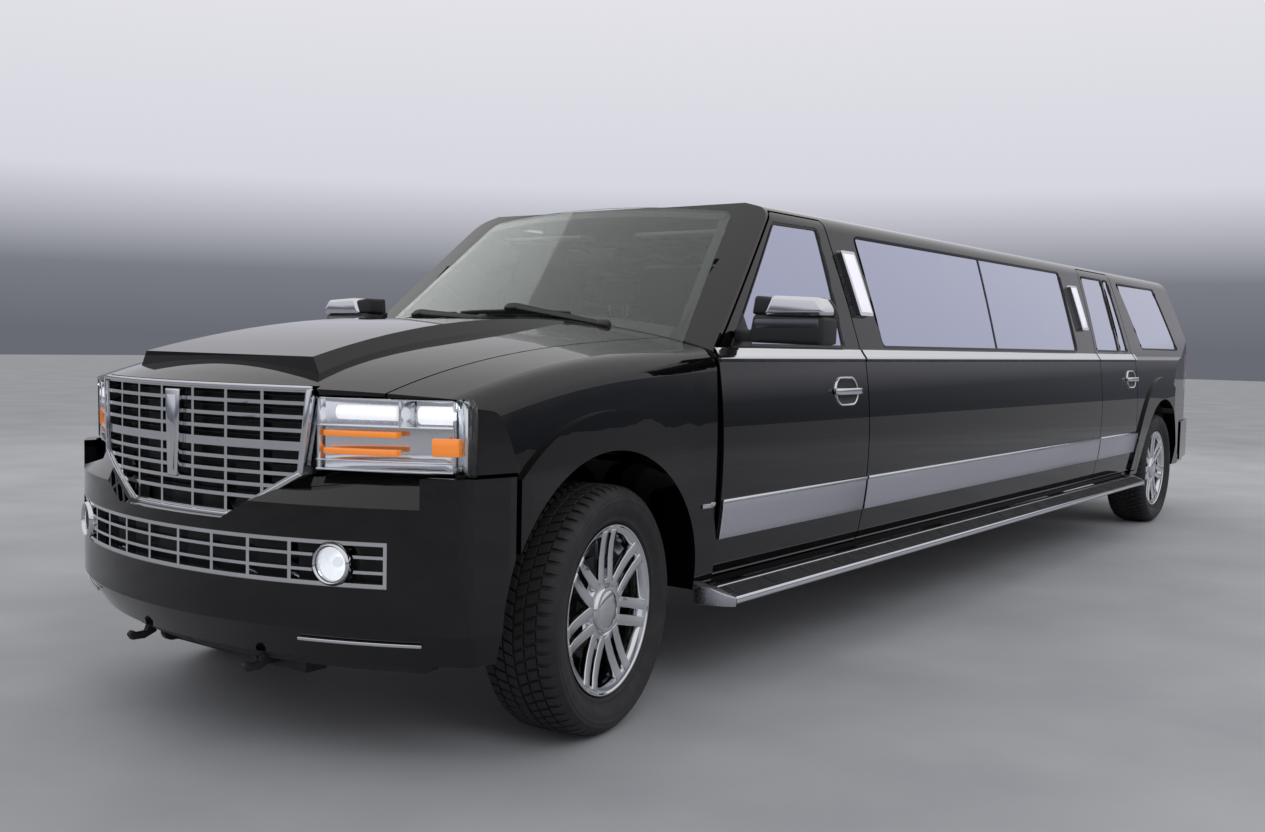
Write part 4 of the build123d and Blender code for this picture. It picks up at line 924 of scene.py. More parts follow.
for carrier, (start, end) in DOOR_ENDS.items():
    low_end = high_end = end
    if carrier == "rear_door":
        low_end, high_end = (AXLE_X["rear"] + (FLARE_EDGE ** 2 - (z - ARCH_HEIGHT) ** 2) ** 0.5
                             for z in (PANEL_LOW, PANEL_HIGH))
    label = carrier.replace("body", "cabin")
    skin = outside_of("body_sides" if carrier == "body" else f"{carrier}_left")
    corners = [(start, PANEL_LOW), (start, PANEL_HIGH), (high_end, PANEL_HIGH), (low_end, PANEL_LOW)]
    sheet = rounded(side_slab("sheet", corners, 0, PANEL_PROUD), 0.0022)
    cut_across(sheet, "Z", steps_between(PANEL_LOW, PANEL_HIGH, 5))
    on_both_sides(laid_on(sheet, skin, 0.0003), f"lower_panel_{label}", brushed, "chrome", carrier)
    bead = rounded(cross_slab("bead", BEAD_SECTION, start, high_end), 0.002)
    if carrier == "front_door":
        stop = rounded(bar("stop", (start - 0.006, 0.0, PANEL_LOW), (start + 0.001, 0.010, PANEL_HIGH + 0.010)),
                       0.002)
        bead = joined("bead", bead, cut_across(stop, "Z", steps_between(PANEL_LOW, PANEL_HIGH, 5)))
    on_both_sides(laid_on(bead, skin, 0.0002), f"lower_bead_{label}", chrome, "chrome", carrier, angle=50)

fender_bar = rounded(bar("fender_bar", (FENDER_BAR[0], 0.0, 0.690), (FENDER_BAR[1], 0.008, 0.706)), 0.003)
cut_across(fender_bar, "X", steps_between(*FENDER_BAR, 8))
on_both_sides(laid_on(fender_bar, outside_of("front_fenders"), 0.0003), "fender_bar", chrome, "chrome")


# Door handles: chrome-plated pull bars over black oval dishes with bright rims, one on each door.

HANDLE_Z = 1.083
HANDLES = {"front_door": 1.955, "rear_door": -2.345}
OVAL_STRETCH = 0.042
DISH = [(0.0004, 0.0000), (0.0012, 0.0000), (0.0014, 0.0260), (0.0030, 0.0440), (0.0060, 0.0520),
        (0.0060, 0.0560), (0.0004, 0.0570)]
DISH_RIM = [(0.0060, 0.0520), (0.0078, 0.0540), (0.0084, 0.0570), (0.0070, 0.0600), (0.0004, 0.0615),
            (0.0004, 0.0570), (0.0060, 0.0560)]
PULL = [(0.112, 0.003), (0.108, 0.020), (0.094, 0.032), (0.060, 0.038), (-0.060, 0.038), (-0.094, 0.032),
        (-0.108, 0.020), (-0.112, 0.003), (-0.092, 0.003), (-0.084, 0.014), (-0.064, 0.022), (0.064, 0.022),
        (0.084, 0.014), (0.092, 0.003)]


def oval(name, profile, x):
    """Profile spun to face the left, then pulled out along X into an oval with round ends."""
    piece = spun(name, profile, 48)
    piece.rotation_euler.z = pi / 2
    settle(piece)
    for point in piece.data.vertices:
        if abs(point.co.x) > 1e-4:
            point.co.x += OVAL_STRETCH if point.co.x > 0 else -OVAL_STRETCH
        point.co.x += x
        point.co.z += HANDLE_Z
    return piece


for carrier, x in HANDLES.items():
    skin = outside_of(f"{carrier}_left")
    on_both_sides(laid_on(oval("dish", DISH, x), skin), f"handle_dish_{carrier}", black_plastic, "trim_black",
                  carrier)
    on_both_sides(laid_on(oval("rim", DISH_RIM, x), skin), f"handle_rim_{carrier}", chrome, "chrome", carrier)
    pull = rounded(slab("pull", [(x + along, out + side_y(HANDLE_Z), HANDLE_Z - 0.014) for along, out in PULL],
                        (0, 0, 0.028)), 0.0065, 3, angle_limit=radians(50))
    on_both_sides(pull, f"door_handle_{carrier}", chrome, "chrome", carrier, angle=50)


# Door mirrors: black moulded housings on short arms, each with a chromed cap over its top and a
# tube-shaped band across its face. A silvered glass looks back, and a black sail covers the foot.

MIRROR_FRONT = 2.798
REAR_RIM = [(1.018, 1.280), (1.312, 1.274), (1.316, 1.398), (1.288, 1.434), (1.034, 1.446)]
NECK = [(0.935, 1.278), (1.040, 1.278), (1.040, 1.322), (0.935, 1.326)]
SAIL = [(2.792, 1.262), (2.640, 1.262), (2.640, 1.290), (2.668, 1.388)]
HEAD = [(1.010, 1.277), (1.314, 1.270), (1.317, 1.372), (1.030, 1.380)]
CAP = [(1.078, 1.374), (1.319, 1.372), (1.319, 1.400), (1.291, 1.438), (1.112, 1.447)]
SHELL_TOP = [(1.022, 1.378), (1.100, 1.378), (1.112, 1.438), (1.034, 1.447)]
MIRROR_GLASS = [(1.034, 1.292), (1.300, 1.286), (1.304, 1.396), (1.282, 1.424), (1.048, 1.432)]


def mirror_piece(name, outline, back, front, edge):
    """Outline of (y, z) points drawn across the vehicle, given its depth and rounded edges."""
    return rounded(cross_slab(name, outline, back, front), edge, 4)


# outline, rear face, front face and rounding of each part of the housing
HOUSING = [(HEAD, 2.678, 2.790, 0.016), (SHELL_TOP, 2.684, 2.784, 0.012), (REAR_RIM, 2.672, 2.700, 0.008),
           (NECK, 2.700, 2.766, 0.012)]
housing = joined("mirror_housing", *[mirror_piece("part", *shape) for shape in HOUSING])
on_both_sides(housing, "mirror_housing", black_plastic, "trim_black", "front_door", ("mirror",))
cap = mirror_piece("cap", CAP, 2.702, MIRROR_FRONT, 0.014)
on_both_sides(cap, "mirror_cap", chrome, "chrome", "front_door", ("mirror",))
bpy.ops.object.select_all(action="DESELECT")
bpy.ops.mesh.primitive_cylinder_add(vertices=32, radius=0.024, depth=0.262, location=(2.772, 1.170, 1.346),
                                    rotation=(pi / 2, 0, 0))
band = rounded(settle(bpy.context.object), 0.008, 3)
# dark grey with a soft sheen
satin_grey = material("satin_grey_abs", "#34363d", roughness=0.32, coat_weight=0.35)
bumpy(satin_grey, 0.12, 0.08, 2.0, 2.0)
on_both_sides(band, "mirror_band", satin_grey, "trim_black", "front_door")
# clean, cold mirror
silvered = material("silvered_glass", "#e9edf0", metallic=1.0, roughness=0.01)
patchy(silvered, 0.005, 0.03, 90.0, 4.0)
look = mirror_piece("look", MIRROR_GLASS, 2.6705, 2.676, 0.0015)
on_both_sides(look, "mirror_glass", silvered, "chrome", "front_door")
sail = rounded(side_slab("sail", SAIL, 0, 0.010), 0.004)
cut_across(sail, "Z", steps_between(SAIL[0][1], SAIL[3][1], 4))
on_both_sides(beside(sail, -0.006), "mirror_sail", black_plastic, "trim_black", "front_door")


# Opera panels: opal acrylic plates in chromed frames, screwed to the pillars behind the front door
# and before the rear door.

OPERA_FRONTS = [(1.740, 0.045), (-1.395, 0.040)]
OPERA_LOW = 1.418
OPERA_HIGH = 1.672
OPERA_PROUD = 0.0205
# milky white with a gloss and a faint glow
opal = material("opal_acrylic", "#eceaf4", roughness=0.2, coat_weight=0.8, emission_color=linear("#f4f3ff"),
                emission_strength=0.12)
patchy(opal, 0.14, 0.26, 45.0, 3.0)
plates = []
for front, lean in OPERA_FRONTS:
    corners = [(front - 0.0345, OPERA_LOW), (front + lean - 0.0165, OPERA_HIGH),
               (front + lean - 0.1175, OPERA_HIGH), (front - 0.1355, OPERA_LOW)]
    plate = rounded(side_slab("plate", corners, 0, 0.006), 0.003, 3)
    plates.append(cut_across(plate, "Z", steps_between(OPERA_LOW, OPERA_HIGH, 6)))
plates = joined("plates", *plates)
on_both_sides(beside(plates, OPERA_PROUD), "opera_panels", opal, "lamp_white")


# Window seals: black rubber channels pushed round every side window, and the thin upright joint
# between the two long panes.

SEAL_LOW = 1.262
SEAL_HIGH = 1.770
SEAL_WIDTH = 0.011
SEAL_THICK = 0.0045
LONG_LOW = 1.265
LONG_HIGH = 1.765
# what carries each seal, the rounding of its corners, and its outline
SEALS = [("front_door", 0.022, [(2.788, 1.262), (2.288, 1.765), (1.915, 1.770), (1.885, 1.262)]),
         ("rear_door", 0.015, [(-1.715, 1.270), (-1.710, 1.765), (-2.155, 1.765), (-2.215, 1.270)]),
         ("rear_door", 0.015, [(-2.255, 1.270), (-2.190, 1.765), (-2.300, 1.765), (-2.425, 1.270)]),
         ("side", 0.035, [(1.510, LONG_LOW), (1.580, LONG_HIGH), (-1.260, LONG_HIGH), (-1.290, LONG_LOW)]),
         ("side", 0.035, [(-2.820, 1.290), (-2.510, 1.760), (-3.510, 1.760), (-3.860, 1.290)])]
PANES = {"front_door": "front_door_glass_left", "rear_door": "rear_door_glass_left", "side": "side_windows"}


def ring(name, outline, corner, width, thick):
    """Band of this width just inside an (x, z) outline with rounded corners."""
    piece = drawn(name, [(x, 0, z) for x, z in outline])
    opened(piece)
    bpy.ops.mesh.bevel(affect="VERTICES", offset=corner, segments=5, offset_type="OFFSET")
    bpy.ops.mesh.select_all(action="SELECT")
    bpy.ops.mesh.inset(thickness=0.0012)
    bpy.ops.mesh.select_all(action="INVERT")
    bpy.ops.mesh.delete(type="FACE")
    bpy.ops.mesh.select_all(action="SELECT")
    bpy.ops.mesh.inset(thickness=width)
    bpy.ops.mesh.delete(type="FACE")
    bpy.ops.object.mode_set(mode="OBJECT")
    return extruded(piece, (0, thick, 0))


# black and half matt, with the long marks of extruding
seal_rubber = material("extruded_seal_rubber", "#101012", roughness=0.5)
bumpy(seal_rubber, 0.2, 0.1, 3.0, 2.0, (0.2, 1, 1))
side_seals = []
door_seals = {"front_door": [], "rear_door": []}
for carrier, corner, outline in SEALS:
    piece = ring("seal", outline, corner, SEAL_WIDTH, SEAL_THICK)
    cut_across(piece, "Z", steps_between(SEAL_LOW, SEAL_HIGH, 12))
    laid_on(piece, outside_of(PANES[carrier]), 0.0002)
    (side_seals if carrier == "side" else door_seals[carrier]).append(piece)
joint = bar("joint", (0.082, 0, LONG_LOW + 0.002), (0.098, SEAL_THICK - 0.001, LONG_HIGH - 0.002))
cut_across(joint, "Z", steps_between(SEAL_LOW, SEAL_HIGH, 12))
side_seals.append(beside(joint, -0.0065))
on_both_sides(joined("seals", *side_seals), "window_seals_side", seal_rubber, "trim_black")
for carrier, pieces in door_seals.items():
    on_both_sides(joined("seals", *pieces), f"window_seals_{carrier}", seal_rubber, "trim_black", carrier)


# Running boards: extruded aluminium steps in black plastic, with ribbed rubber pads between two
# bright lines and cast silver ends, carried on steel brackets from the chassis rails.

BOARD_ENDS = (2.925, -2.475)
BOARD_SECTION = [(0.932, 0.353), (0.932, 0.390), (0.998, 0.3975), (1.072, 0.3705), (1.0765, 0.348),
                 (1.050, 0.3375)]
RIBS = 9
RIB_PITCH = 0.0072
BOARD_TILT = 0.365
PADS = 20
BRACKETS = 6
PAD_LENGTH = 0.255
PAD_PITCH = 0.270
BRACKET_SIDE = [(0.460, 0.356), (0.460, 0.384), (0.940, 0.384), (0.940, 0.356), (0.700, 0.348)]
board = rounded(cross_slab("board", BOARD_SECTION, *BOARD_ENDS), 0.005, 3)
brackets = []
for index in range(BRACKETS):
    x = 2.630 - index * 4.810 / (BRACKETS - 1)
    brackets.append(rounded(cross_slab("bracket", BRACKET_SIDE, x - 0.024, x + 0.024), 0.005))
on_both_sides(joined("board", board, *brackets), "running_board", black_plastic, "trim_black")
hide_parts("running_boards")

comb = []
for index in range(RIBS):
    y = 1.004 + index * RIB_PITCH
    z = 0.3970 - (y - 0.998) * BOARD_TILT
    comb += [(y, z), (y + 0.0006, z + 0.0034), (y + 0.0040, z + 0.0021), (y + 0.0046, z - 0.0018)]
pad = cross_slab("pad", comb + [(1.066, 0.3700), (1.003, 0.3935)], 0, -PAD_LENGTH)
pad.location.x = BOARD_ENDS[0] - 0.035
settle(pad)
modified(pad, "ARRAY", count=PADS, use_relative_offset=False, use_constant_offset=True,
         constant_offset_displace=(-PAD_PITCH, 0, 0))
on_both_sides(pad, "step_pads", tyre_rubber, "tyre_rubber", angle=20)

BOARD_LINES = [[(0.984, 0.395), (0.985, 0.4005), (0.991, 0.4022), (0.997, 0.4010), (0.998, 0.396)],
               [(1.0700, 0.3690), (1.0705, 0.3745), (1.0760, 0.3735), (1.0790, 0.3660), (1.0795, 0.3520),
                (1.0765, 0.3480), (1.0740, 0.3520)]]
lines = [rounded(cross_slab("line", section, BOARD_ENDS[0] - 0.002, BOARD_ENDS[1] + 0.002), 0.0012)
         for section in BOARD_LINES]
on_both_sides(joined("lines", *lines), "step_lines", chrome, "chrome", angle=50)

caps = []
for end, way in ((BOARD_ENDS[0], 1), (BOARD_ENDS[1], -1)):
    plan = [(end, 0.931), (end + way * 0.0545, 0.931), (end + way * 0.052, 0.965), (end + way * 0.043, 1.010),
            (end + way * 0.028, 1.050), (end + way * 0.006, 1.077), (end, 1.0785)]
    cap = slab("cap", [(x, y, 0.338) for x, y in plan], (0, 0, 0.064))
    opened(cap)
    bpy.ops.mesh.bisect(plane_co=(0, 1.0, 0.3995), plane_no=(0, 0.345, 0.939), use_fill=True, clear_outer=True)
    bpy.ops.object.mode_set(mode="OBJECT")
    caps.append(rounded(cleaned(cap), 0.006, 3))
# satin silver, duller in patches
silver_cast = material("silver_cast_aluminium", "#b9bac2", metallic=1.0, roughness=0.3)
patchy(silver_cast, 0.22, 0.38, 6.0, 3.0)
on_both_sides(joined("caps", *caps), "step_caps", silver_cast, "chrome")


# Windscreen: the black ceramic band fired on round the inside of the glass, and two wipers with
# steel arms and rubber blades that park along its foot.

SCREEN_FOOT = Vector((3.140, 0.0, 1.190))
SCREEN_SLOPE = radians(40.4)
SCREEN_CURVE = 4.5
UP_SCREEN = Vector((-cos(SCREEN_SLOPE), 0, sin(SCREEN_SLOPE)))
OFF_SCREEN = Vector((sin(SCREEN_SLOPE), 0, cos(SCREEN_SLOPE)))


def on_screen(piece):
    """Carries a piece drawn flat, X up the slope, Y across and Z outwards, onto the screen's curve."""
    for point in piece.data.vertices:
        along, across, proud = point.co
        drop = SCREEN_CURVE - (SCREEN_CURVE ** 2 - across ** 2) ** 0.5
        point.co = SCREEN_FOOT + UP_SCREEN * along + OFF_SCREEN * (proud - drop) + Vector((0, across, 0))
    return cleaned(piece)


# smooth black that shows through the glass
fired_black = material("fired_ceramic_black", "#0a0a0b", roughness=0.35)
patchy(fired_black, 0.3, 0.45, 8.0, 2.0)
BAND_DEPTH = -0.0072
BAND_OUTER = [(0.170, -0.826), (0.170, 0.826), (0.990, 0.650), (0.990, -0.650)]
BAND_INNER = [(0.292, -0.762), (0.292, 0.762), (0.945, 0.622), (0.945, -0.622)]
strips = []
for index in range(4):
    follows = (index + 1) % 4
    corners = (BAND_OUTER[index], BAND_OUTER[follows], BAND_INNER[follows], BAND_INNER[index])
    strips.append(slab("strip", [(*corner, BAND_DEPTH) for corner in corners], (0, 0, 0.0016)))
band = cleaned(joined("screen_band", *strips))
cut_across(band, "Y", steps_between(-0.83, 0.83, 40))
finished(on_screen(band), fired_black, "body", "trim_black")

BLADE_SECTION = [(0.274, 0.003), (0.290, 0.003), (0.290, 0.012), (0.285, 0.022), (0.279, 0.022), (0.274, 0.012)]
# pivot, middle and half length of each blade, across the vehicle
WIPERS = [(0.485, 0.000, 0.290), (-0.130, -0.560, 0.235)]
wiper_pieces = []
for pivot, middle, half in WIPERS:
    blade = rounded(side_slab("blade", BLADE_SECTION, middle - half, middle + half), 0.002)
    cut_across(blade, "Y", steps_between(middle - half, middle + half, 12))
    arm_points = [(0.222, pivot + 0.012, 0.016), (0.240, pivot + 0.012, 0.016), (0.300, middle + 0.020, 0.034),
                  (0.298, middle - 0.020, 0.034), (0.280, middle - 0.020, 0.030), (0.222, pivot - 0.030, 0.016)]
    arm = rounded(slab("arm", arm_points, (0, 0, 0.010)), 0.003)
    clip = rounded(bar("clip", (0.272, middle - 0.032, 0.016), (0.296, middle + 0.032, 0.040)), 0.005, 3)
    boss = rounded(bar("boss", (0.212, pivot - 0.026, 0.004), (0.248, pivot + 0.026, 0.034)), 0.011, 4)
    wiper_pieces += [blade, arm, clip, boss]
finished(on_screen(joined("screen_wipers", *wiper_pieces)), black_plastic, "body", "trim_black")


# Cowl: black plastic plate between hood and screen, with louvres for the cabin's air.

def laid_down(piece, tree, out=0.0):
    """Carries a piece made flat at Z = 0 up onto the top of CAD nodes."""
    for point in piece.data.vertices:
        hit = tree.ray_cast(Vector((point.co.x, point.co.y, 3.0)), Vector((0, 0, -1)))[0]
        if hit:
            point.co.z += hit.z + out
    return piece


LOUVRES = 15
LOUVRE_PITCH = 0.024
louvres = []
for index in range(LOUVRES):
    y = 0.070 + index * LOUVRE_PITCH
    louvre = bar("louvre", (2.964 - 0.00010 * index ** 2, y, 0.0),
                 (3.000 - 0.00016 * index ** 2, y + 0.007, 0.0035))
    louvres.append(rounded(louvre, 0.0015, 1))
vents = laid_down(joined("louvres", *louvres), outside_of("cowl"), 0.0002)
on_both_sides(vents, "cowl_louvres", black_plastic, "trim_black")


# Inner mirror and sun visors: a dark moulded mirror on a stalk glued to the screen, and two
# cloth-covered visors folded up under the headlining.

mirror_shell = rounded(bar("shell", (2.415, -0.130, 1.600), (2.450, 0.130, 1.665)), 0.014, 4)
STALK = [(2.440, 1.640), (2.556, 1.668), (2.556, 1.684), (2.440, 1.656)]
stalk = rounded(side_slab("stalk", STALK, -0.010, 0.010), 0.004)
finished(joined("inner_mirror", mirror_shell, stalk), black_plastic, "body", "trim_black")
inner_glass = bar("inner_mirror_glass", (2.4135, -0.120, 1.609), (2.4155, 0.120, 1.656))
finished(rounded(inner_glass, 0.0008, 1), silvered, "body", "chrome")

# pale warm grey cloth, its knit drawn coarser than the real one
visor_cloth = material("knitted_visor_cloth", "#a9a69c", roughness=0.85)
bumpy(visor_cloth, 0.5, 0.3, 1.5, 2.0)
visor = rounded(bar("visor", (2.190, 0.150, 1.722), (2.330, 0.600, 1.738)), 0.007, 4)
on_both_sides(visor, "sun_visor", visor_cloth, "dash")


# Tail lamps: fluted red acrylic lenses that wrap round the corners, each with a clear reversing
# section between two black joints and a plated strip along its top and foot.

def band_of(source, name, keep, low, high, proud):
    """Strip of a CAD solid's outside between two heights, raised a little."""
    piece = front_faces(source, name, keep, 0.0005)
    opened(piece)
    for height, side in ((low, -1), (high, 1)):
        bpy.ops.mesh.select_all(action="SELECT")
        bpy.ops.mesh.bisect(plane_co=(0, 0, height), plane_no=(0, 0, side), clear_outer=True)
    bpy.ops.mesh.select_all(action="SELECT")
    bpy.ops.mesh.remove_doubles(threshold=0.0007)
    bpy.ops.object.mode_set(mode="OBJECT")
    return modified(piece, "SOLIDIFY", thickness=proud, offset=1.0)


def lamp_outside(place, normal):
    """Faces of a tail lamp that look backwards or sideways out of the body."""
    return normal.x < -FACES_ON or looks_aside(place, normal)


relief(red_lens, waves(red_lens, 7.0, "Z"), 0.35, 0.8)
# greyish clear plastic with upright flutes
reverse_clear = material("fluted_clear_acrylic", "#d9dcdf", roughness=0.08, coat_weight=1.0)
bumpy(reverse_clear, 0.4, 0.8, 5.0, 1.0, (1, 1, 0.2))
# name, foot, top, how far proud, finish and slot of each strip
LAMP_STRIPS = [("reverse_lens", 1.072, 1.122, 0.0012, reverse_clear, "lamp_clear"),
               ("lamp_joint_low", 1.066, 1.072, 0.0018, black_plastic, "trim_black"),
               ("lamp_joint_high", 1.122, 1.128, 0.0018, black_plastic, "trim_black"),
               ("lamp_strip_foot", 0.987, 0.996, 0.0022, chrome, "chrome"),
               ("lamp_strip_top", 1.254, 1.263, 0.0022, chrome, "chrome")]
for name, low, high, proud, finish, slot in LAMP_STRIPS:
    finished(band_of("tail_lamps", f"tail_{name}", lamp_outside, low, high, proud), finish, "body", slot)


# Tailgate trim: a black surround with a plain white plate, a plated garnish that hides the latch
# handle, the rubber round the glass, a wiper and the high brake lamp.

def laid_behind(piece, tree, out=0.0):
    """Carries a piece made flat at X = 0, its outside towards -X, back onto CAD nodes."""
    for point in piece.data.vertices:
        hit = tree.ray_cast(Vector((-6.0, point.co.y, point.co.z)), Vector((1, 0, 0)))[0]
        if hit:
            point.co.x += hit.x - out
    return piece


def rear_block(name, y0, y1, z0, z1, thick, edge, cuts=10):
    """Flat trim across the tail, with rounded edges."""
    piece = rounded(bar(name, (-thick, y0, z0), (0.0, y1, z1)), edge, 3)
    cut_across(piece, "Z", steps_between(z0, z1, cuts))
    return piece


gate = outside_of("tailgate")
# two ends across, foot, top, thickness, rounding and cuts of each block
SURROUND = [(-0.300, 0.300, 0.846, 1.020, 0.006, 0.005), (0.285, 0.305, 0.840, 1.024, 0.014, 0.005),
            (-0.305, -0.285, 0.840, 1.024, 0.014, 0.005), (-0.305, 0.305, 0.838, 0.850, 0.014, 0.004, 3)]
PLATE = [(-0.152, 0.152, 0.858, 1.010, 0.0085, 0.002), (-0.152, 0.152, 1.003, 1.010, 0.0100, 0.001, 2),
         (-0.152, 0.152, 0.858, 0.865, 0.0100, 0.001, 2), (0.145, 0.152, 0.858, 1.010, 0.0100, 0.001),
         (-0.152, -0.145, 0.858, 1.010, 0.0100, 0.001)]
GLASS_EDGE = [(-0.640, 1.310), (0.640, 1.310), (0.600, 1.740), (-0.600, 1.740)]
surround = joined("plate_surround", *[rear_block("side", *shape) for shape in SURROUND])
finished(laid_behind(surround, gate, 0.0002), black_plastic, "tailgate", "trim_black")
# plain off-white enamel, slightly uneven
plate_white = material("enamelled_plate_white", "#dcdcd8", roughness=0.35)
patchy(plate_white, 0.28, 0.42, 12.0, 3.0)
bumpy(plate_white, 0.1, 0.4, 60.0, 1.0)
plate = joined("blank_plate", *[rear_block("side", *shape) for shape in PLATE])
finished(laid_behind(plate, gate, 0.0002), plate_white, "tailgate", "lamp_white")
BOLT = [(0.000, 0.0000), (0.004, 0.0000), (0.004, 0.0022), (0.0052, 0.0030), (0.0052, 0.0065), (0.0015, 0.0072),
        (0.000, 0.0072)]
bolt = spun("bolt", BOLT, 16)
bolt.rotation_euler.z = pi
settle(bolt)
bolts = [copied(bolt, "bolt_copy", Matrix.Translation((-0.0088, y, z))) for y in (-0.090, 0.090)
         for z in (0.872, 0.996)]
removed(bolt)
finished(laid_behind(joined("plate_bolts", *bolts), gate), chrome, "tailgate", "chrome")
# name, shape as above, finish and slot of each single block
BLOCKS = [("garnish", (-0.430, 0.430, 1.030, 1.085, 0.018, 0.008), chrome, "chrome"),
          ("latch_grip", (-0.110, 0.110, 1.022, 1.036, 0.026, 0.005, 3), black_plastic, "trim_black"),
          ("plate_lamp_left", (0.185, 0.235, 1.018, 1.030, 0.020, 0.003, 2), reverse_clear, "lamp_clear"),
          ("plate_lamp_right", (-0.235, -0.185, 1.018, 1.030, 0.020, 0.003, 2), reverse_clear, "lamp_clear")]
for name, shape, finish, slot in BLOCKS:
    finished(laid_behind(rear_block(name, *shape), gate, 0.0002), finish, "tailgate", slot)

glass_seal = ring("tailgate_seal", GLASS_EDGE, 0.045, 0.013, 0.004)
glass_seal.rotation_euler.z = pi / 2
cut_across(settle(glass_seal), "Z", steps_between(GLASS_EDGE[0][1], GLASS_EDGE[2][1], 12))
cleaned(glass_seal)
around_glass = outside_of("tailgate", "tailgate_glass")
finished(laid_behind(glass_seal, around_glass, 0.0003), seal_rubber, "tailgate", "trim_black")
wiper_blade = rear_block("blade", -0.300, 0.060, 1.362, 1.374, 0.016, 0.003, 2)
wiper_arm = rear_block("arm", -0.140, 0.016, 1.340, 1.352, 0.024, 0.004, 2)
for point in wiper_arm.data.vertices:
    point.co.z += 0.030 * max(0.0, min(1.0, -point.co.y / 0.130))
wiper_boss = rear_block("boss", -0.022, 0.022, 1.326, 1.366, 0.030, 0.012, 3)
rear_wiper = joined("rear_wiper", wiper_blade, wiper_arm, wiper_boss)
finished(laid_behind(rear_wiper, outside_of("tailgate_glass"), 0.0005), black_plastic, "tailgate", "trim_black")
brake_lamp = rear_block("high_brake_lamp", -0.170, 0.170, 1.762, 1.786, 0.007, 0.004, 3)
finished(laid_behind(brake_lamp, gate, 0.0002), red_lens, "tailgate", "lamp_red")


# Rear bumper trim: a ribbed rubber tread on the loading step and a red reflector near each corner.

REFLECTOR_Y = 0.790
TREAD_RIBS = 6
TREAD_PITCH = 0.0096
treads = [bar("pad", (-4.482, -0.560, 0.7275), (-4.426, 0.560, 0.7310))]
for index in range(TREAD_RIBS):
    x = -4.478 + index * TREAD_PITCH
    treads.append(bar("rib", (x, -0.552, 0.7300), (x + 0.0045, 0.552, 0.7345)))
step = rounded(joined("bumper_tread", *treads), 0.0012, 1)
finished(step, tyre_rubber, "body", "tyre_rubber")
for name, sign in SIDES:
    red = rear_block(f"reflector_{name}", sign * REFLECTOR_Y - 0.045, sign * REFLECTOR_Y + 0.045, 0.560, 0.592,
                     0.004, 0.002, 3)
    finished(laid_behind(red, outside_of("rear_bumper"), -0.0015), red_lens, "body", "lamp_red")


# Front seats: foam pads covered in charcoal leather, sewn in channels, on moulded plinths.

CABIN_FLOOR = 0.4704
REAR_FLOOR = 0.6604
SEAT_Y = 0.400
PEBBLE_MM = 3.5
PAD_VOXEL = 0.014
SWELL_LIMIT = 0.022
PAD_PRESSURE = 4.0
SIM_FRAMES = 20
BELL = 2.718

# soft charcoal with a pebbled grain, drawn coarser than real hide, and worn tones
charcoal_leather = material("charcoal_upholstery_leather", "#343333", roughness=0.45)
tree = charcoal_leather.node_tree
values = {"Vector": add(tree, "ShaderNodeTexCoord").outputs["Object"], "Scale": per_metre(PEBBLE_MM)}
hide = add(tree, "ShaderNodeTexVoronoi", values, feature="DISTANCE_TO_EDGE")
relief(charcoal_leather, hide.outputs["Distance"], 0.35, 0.5)
coloured(charcoal_leather, noise(charcoal_leather, 220.0, 5.0), [(0.3, "#2d2c2c"), (0.7, "#3c3a39")])
patchy(charcoal_leather, 0.36, 0.52, 90.0, 4.0)


def swelled(piece, voxel=PAD_VOXEL):
    """Remeshes a pad and lets cloth pressure round it, no further than a limit, then smooths it."""
    modified(piece, "REMESH", mode="VOXEL", voxel_size=voxel)
    before = [point.co.copy() for point in piece.data.vertices]
    pick(piece)
    cloth = piece.modifiers.new("cloth", "CLOTH")
    cloth.settings.use_pressure = True
    cloth.settings.uniform_pressure_force = PAD_PRESSURE
    cloth.settings.effector_weights.gravity = 0.0
    for step_number in range(1, SIM_FRAMES + 1):
        bpy.context.scene.frame_set(step_number)
    bpy.ops.object.modifier_apply(modifier=cloth.name)
    for point, start in zip(piece.data.vertices, before):
        moved = point.co - start
        if moved.length > SWELL_LIMIT:
            point.co = start + moved * (SWELL_LIMIT / moved.length)
    bpy.context.scene.frame_set(1)
    return modified(piece, "SUBSURF", levels=1, render_levels=1)


def channelled(piece, axis, places, low, high, depth=0.009, width=0.008):
    """Presses sewn channels into a pad, each across an axis and between two limits of the others."""
    side = "xyz".index(axis)
    for point in piece.data.vertices:
        inside = all(a <= point.co[way] <= b for way, (a, b) in enumerate(zip(low, high)))
        if inside:
            for place in places:
                away = (point.co[side] - place) / width
                if abs(away) < 3:
                    point.co -= point.normal * depth * BELL ** (-away * away)
    return piece


def upholstered(pad, replaced):
    """Last step of a pad: leather, and smooth all over."""
    finished(pad, charcoal_leather, "body", "seat_leather", replaced, angle=60)


def pad_from(name, outline, y0, y1, round_by, voxel=PAD_VOXEL):
    """Pad of an (x, z) outline across the vehicle, rounded and swelled."""
    return swelled(rounded(side_slab(name, outline, y0, y1), round_by, 4), voxel)


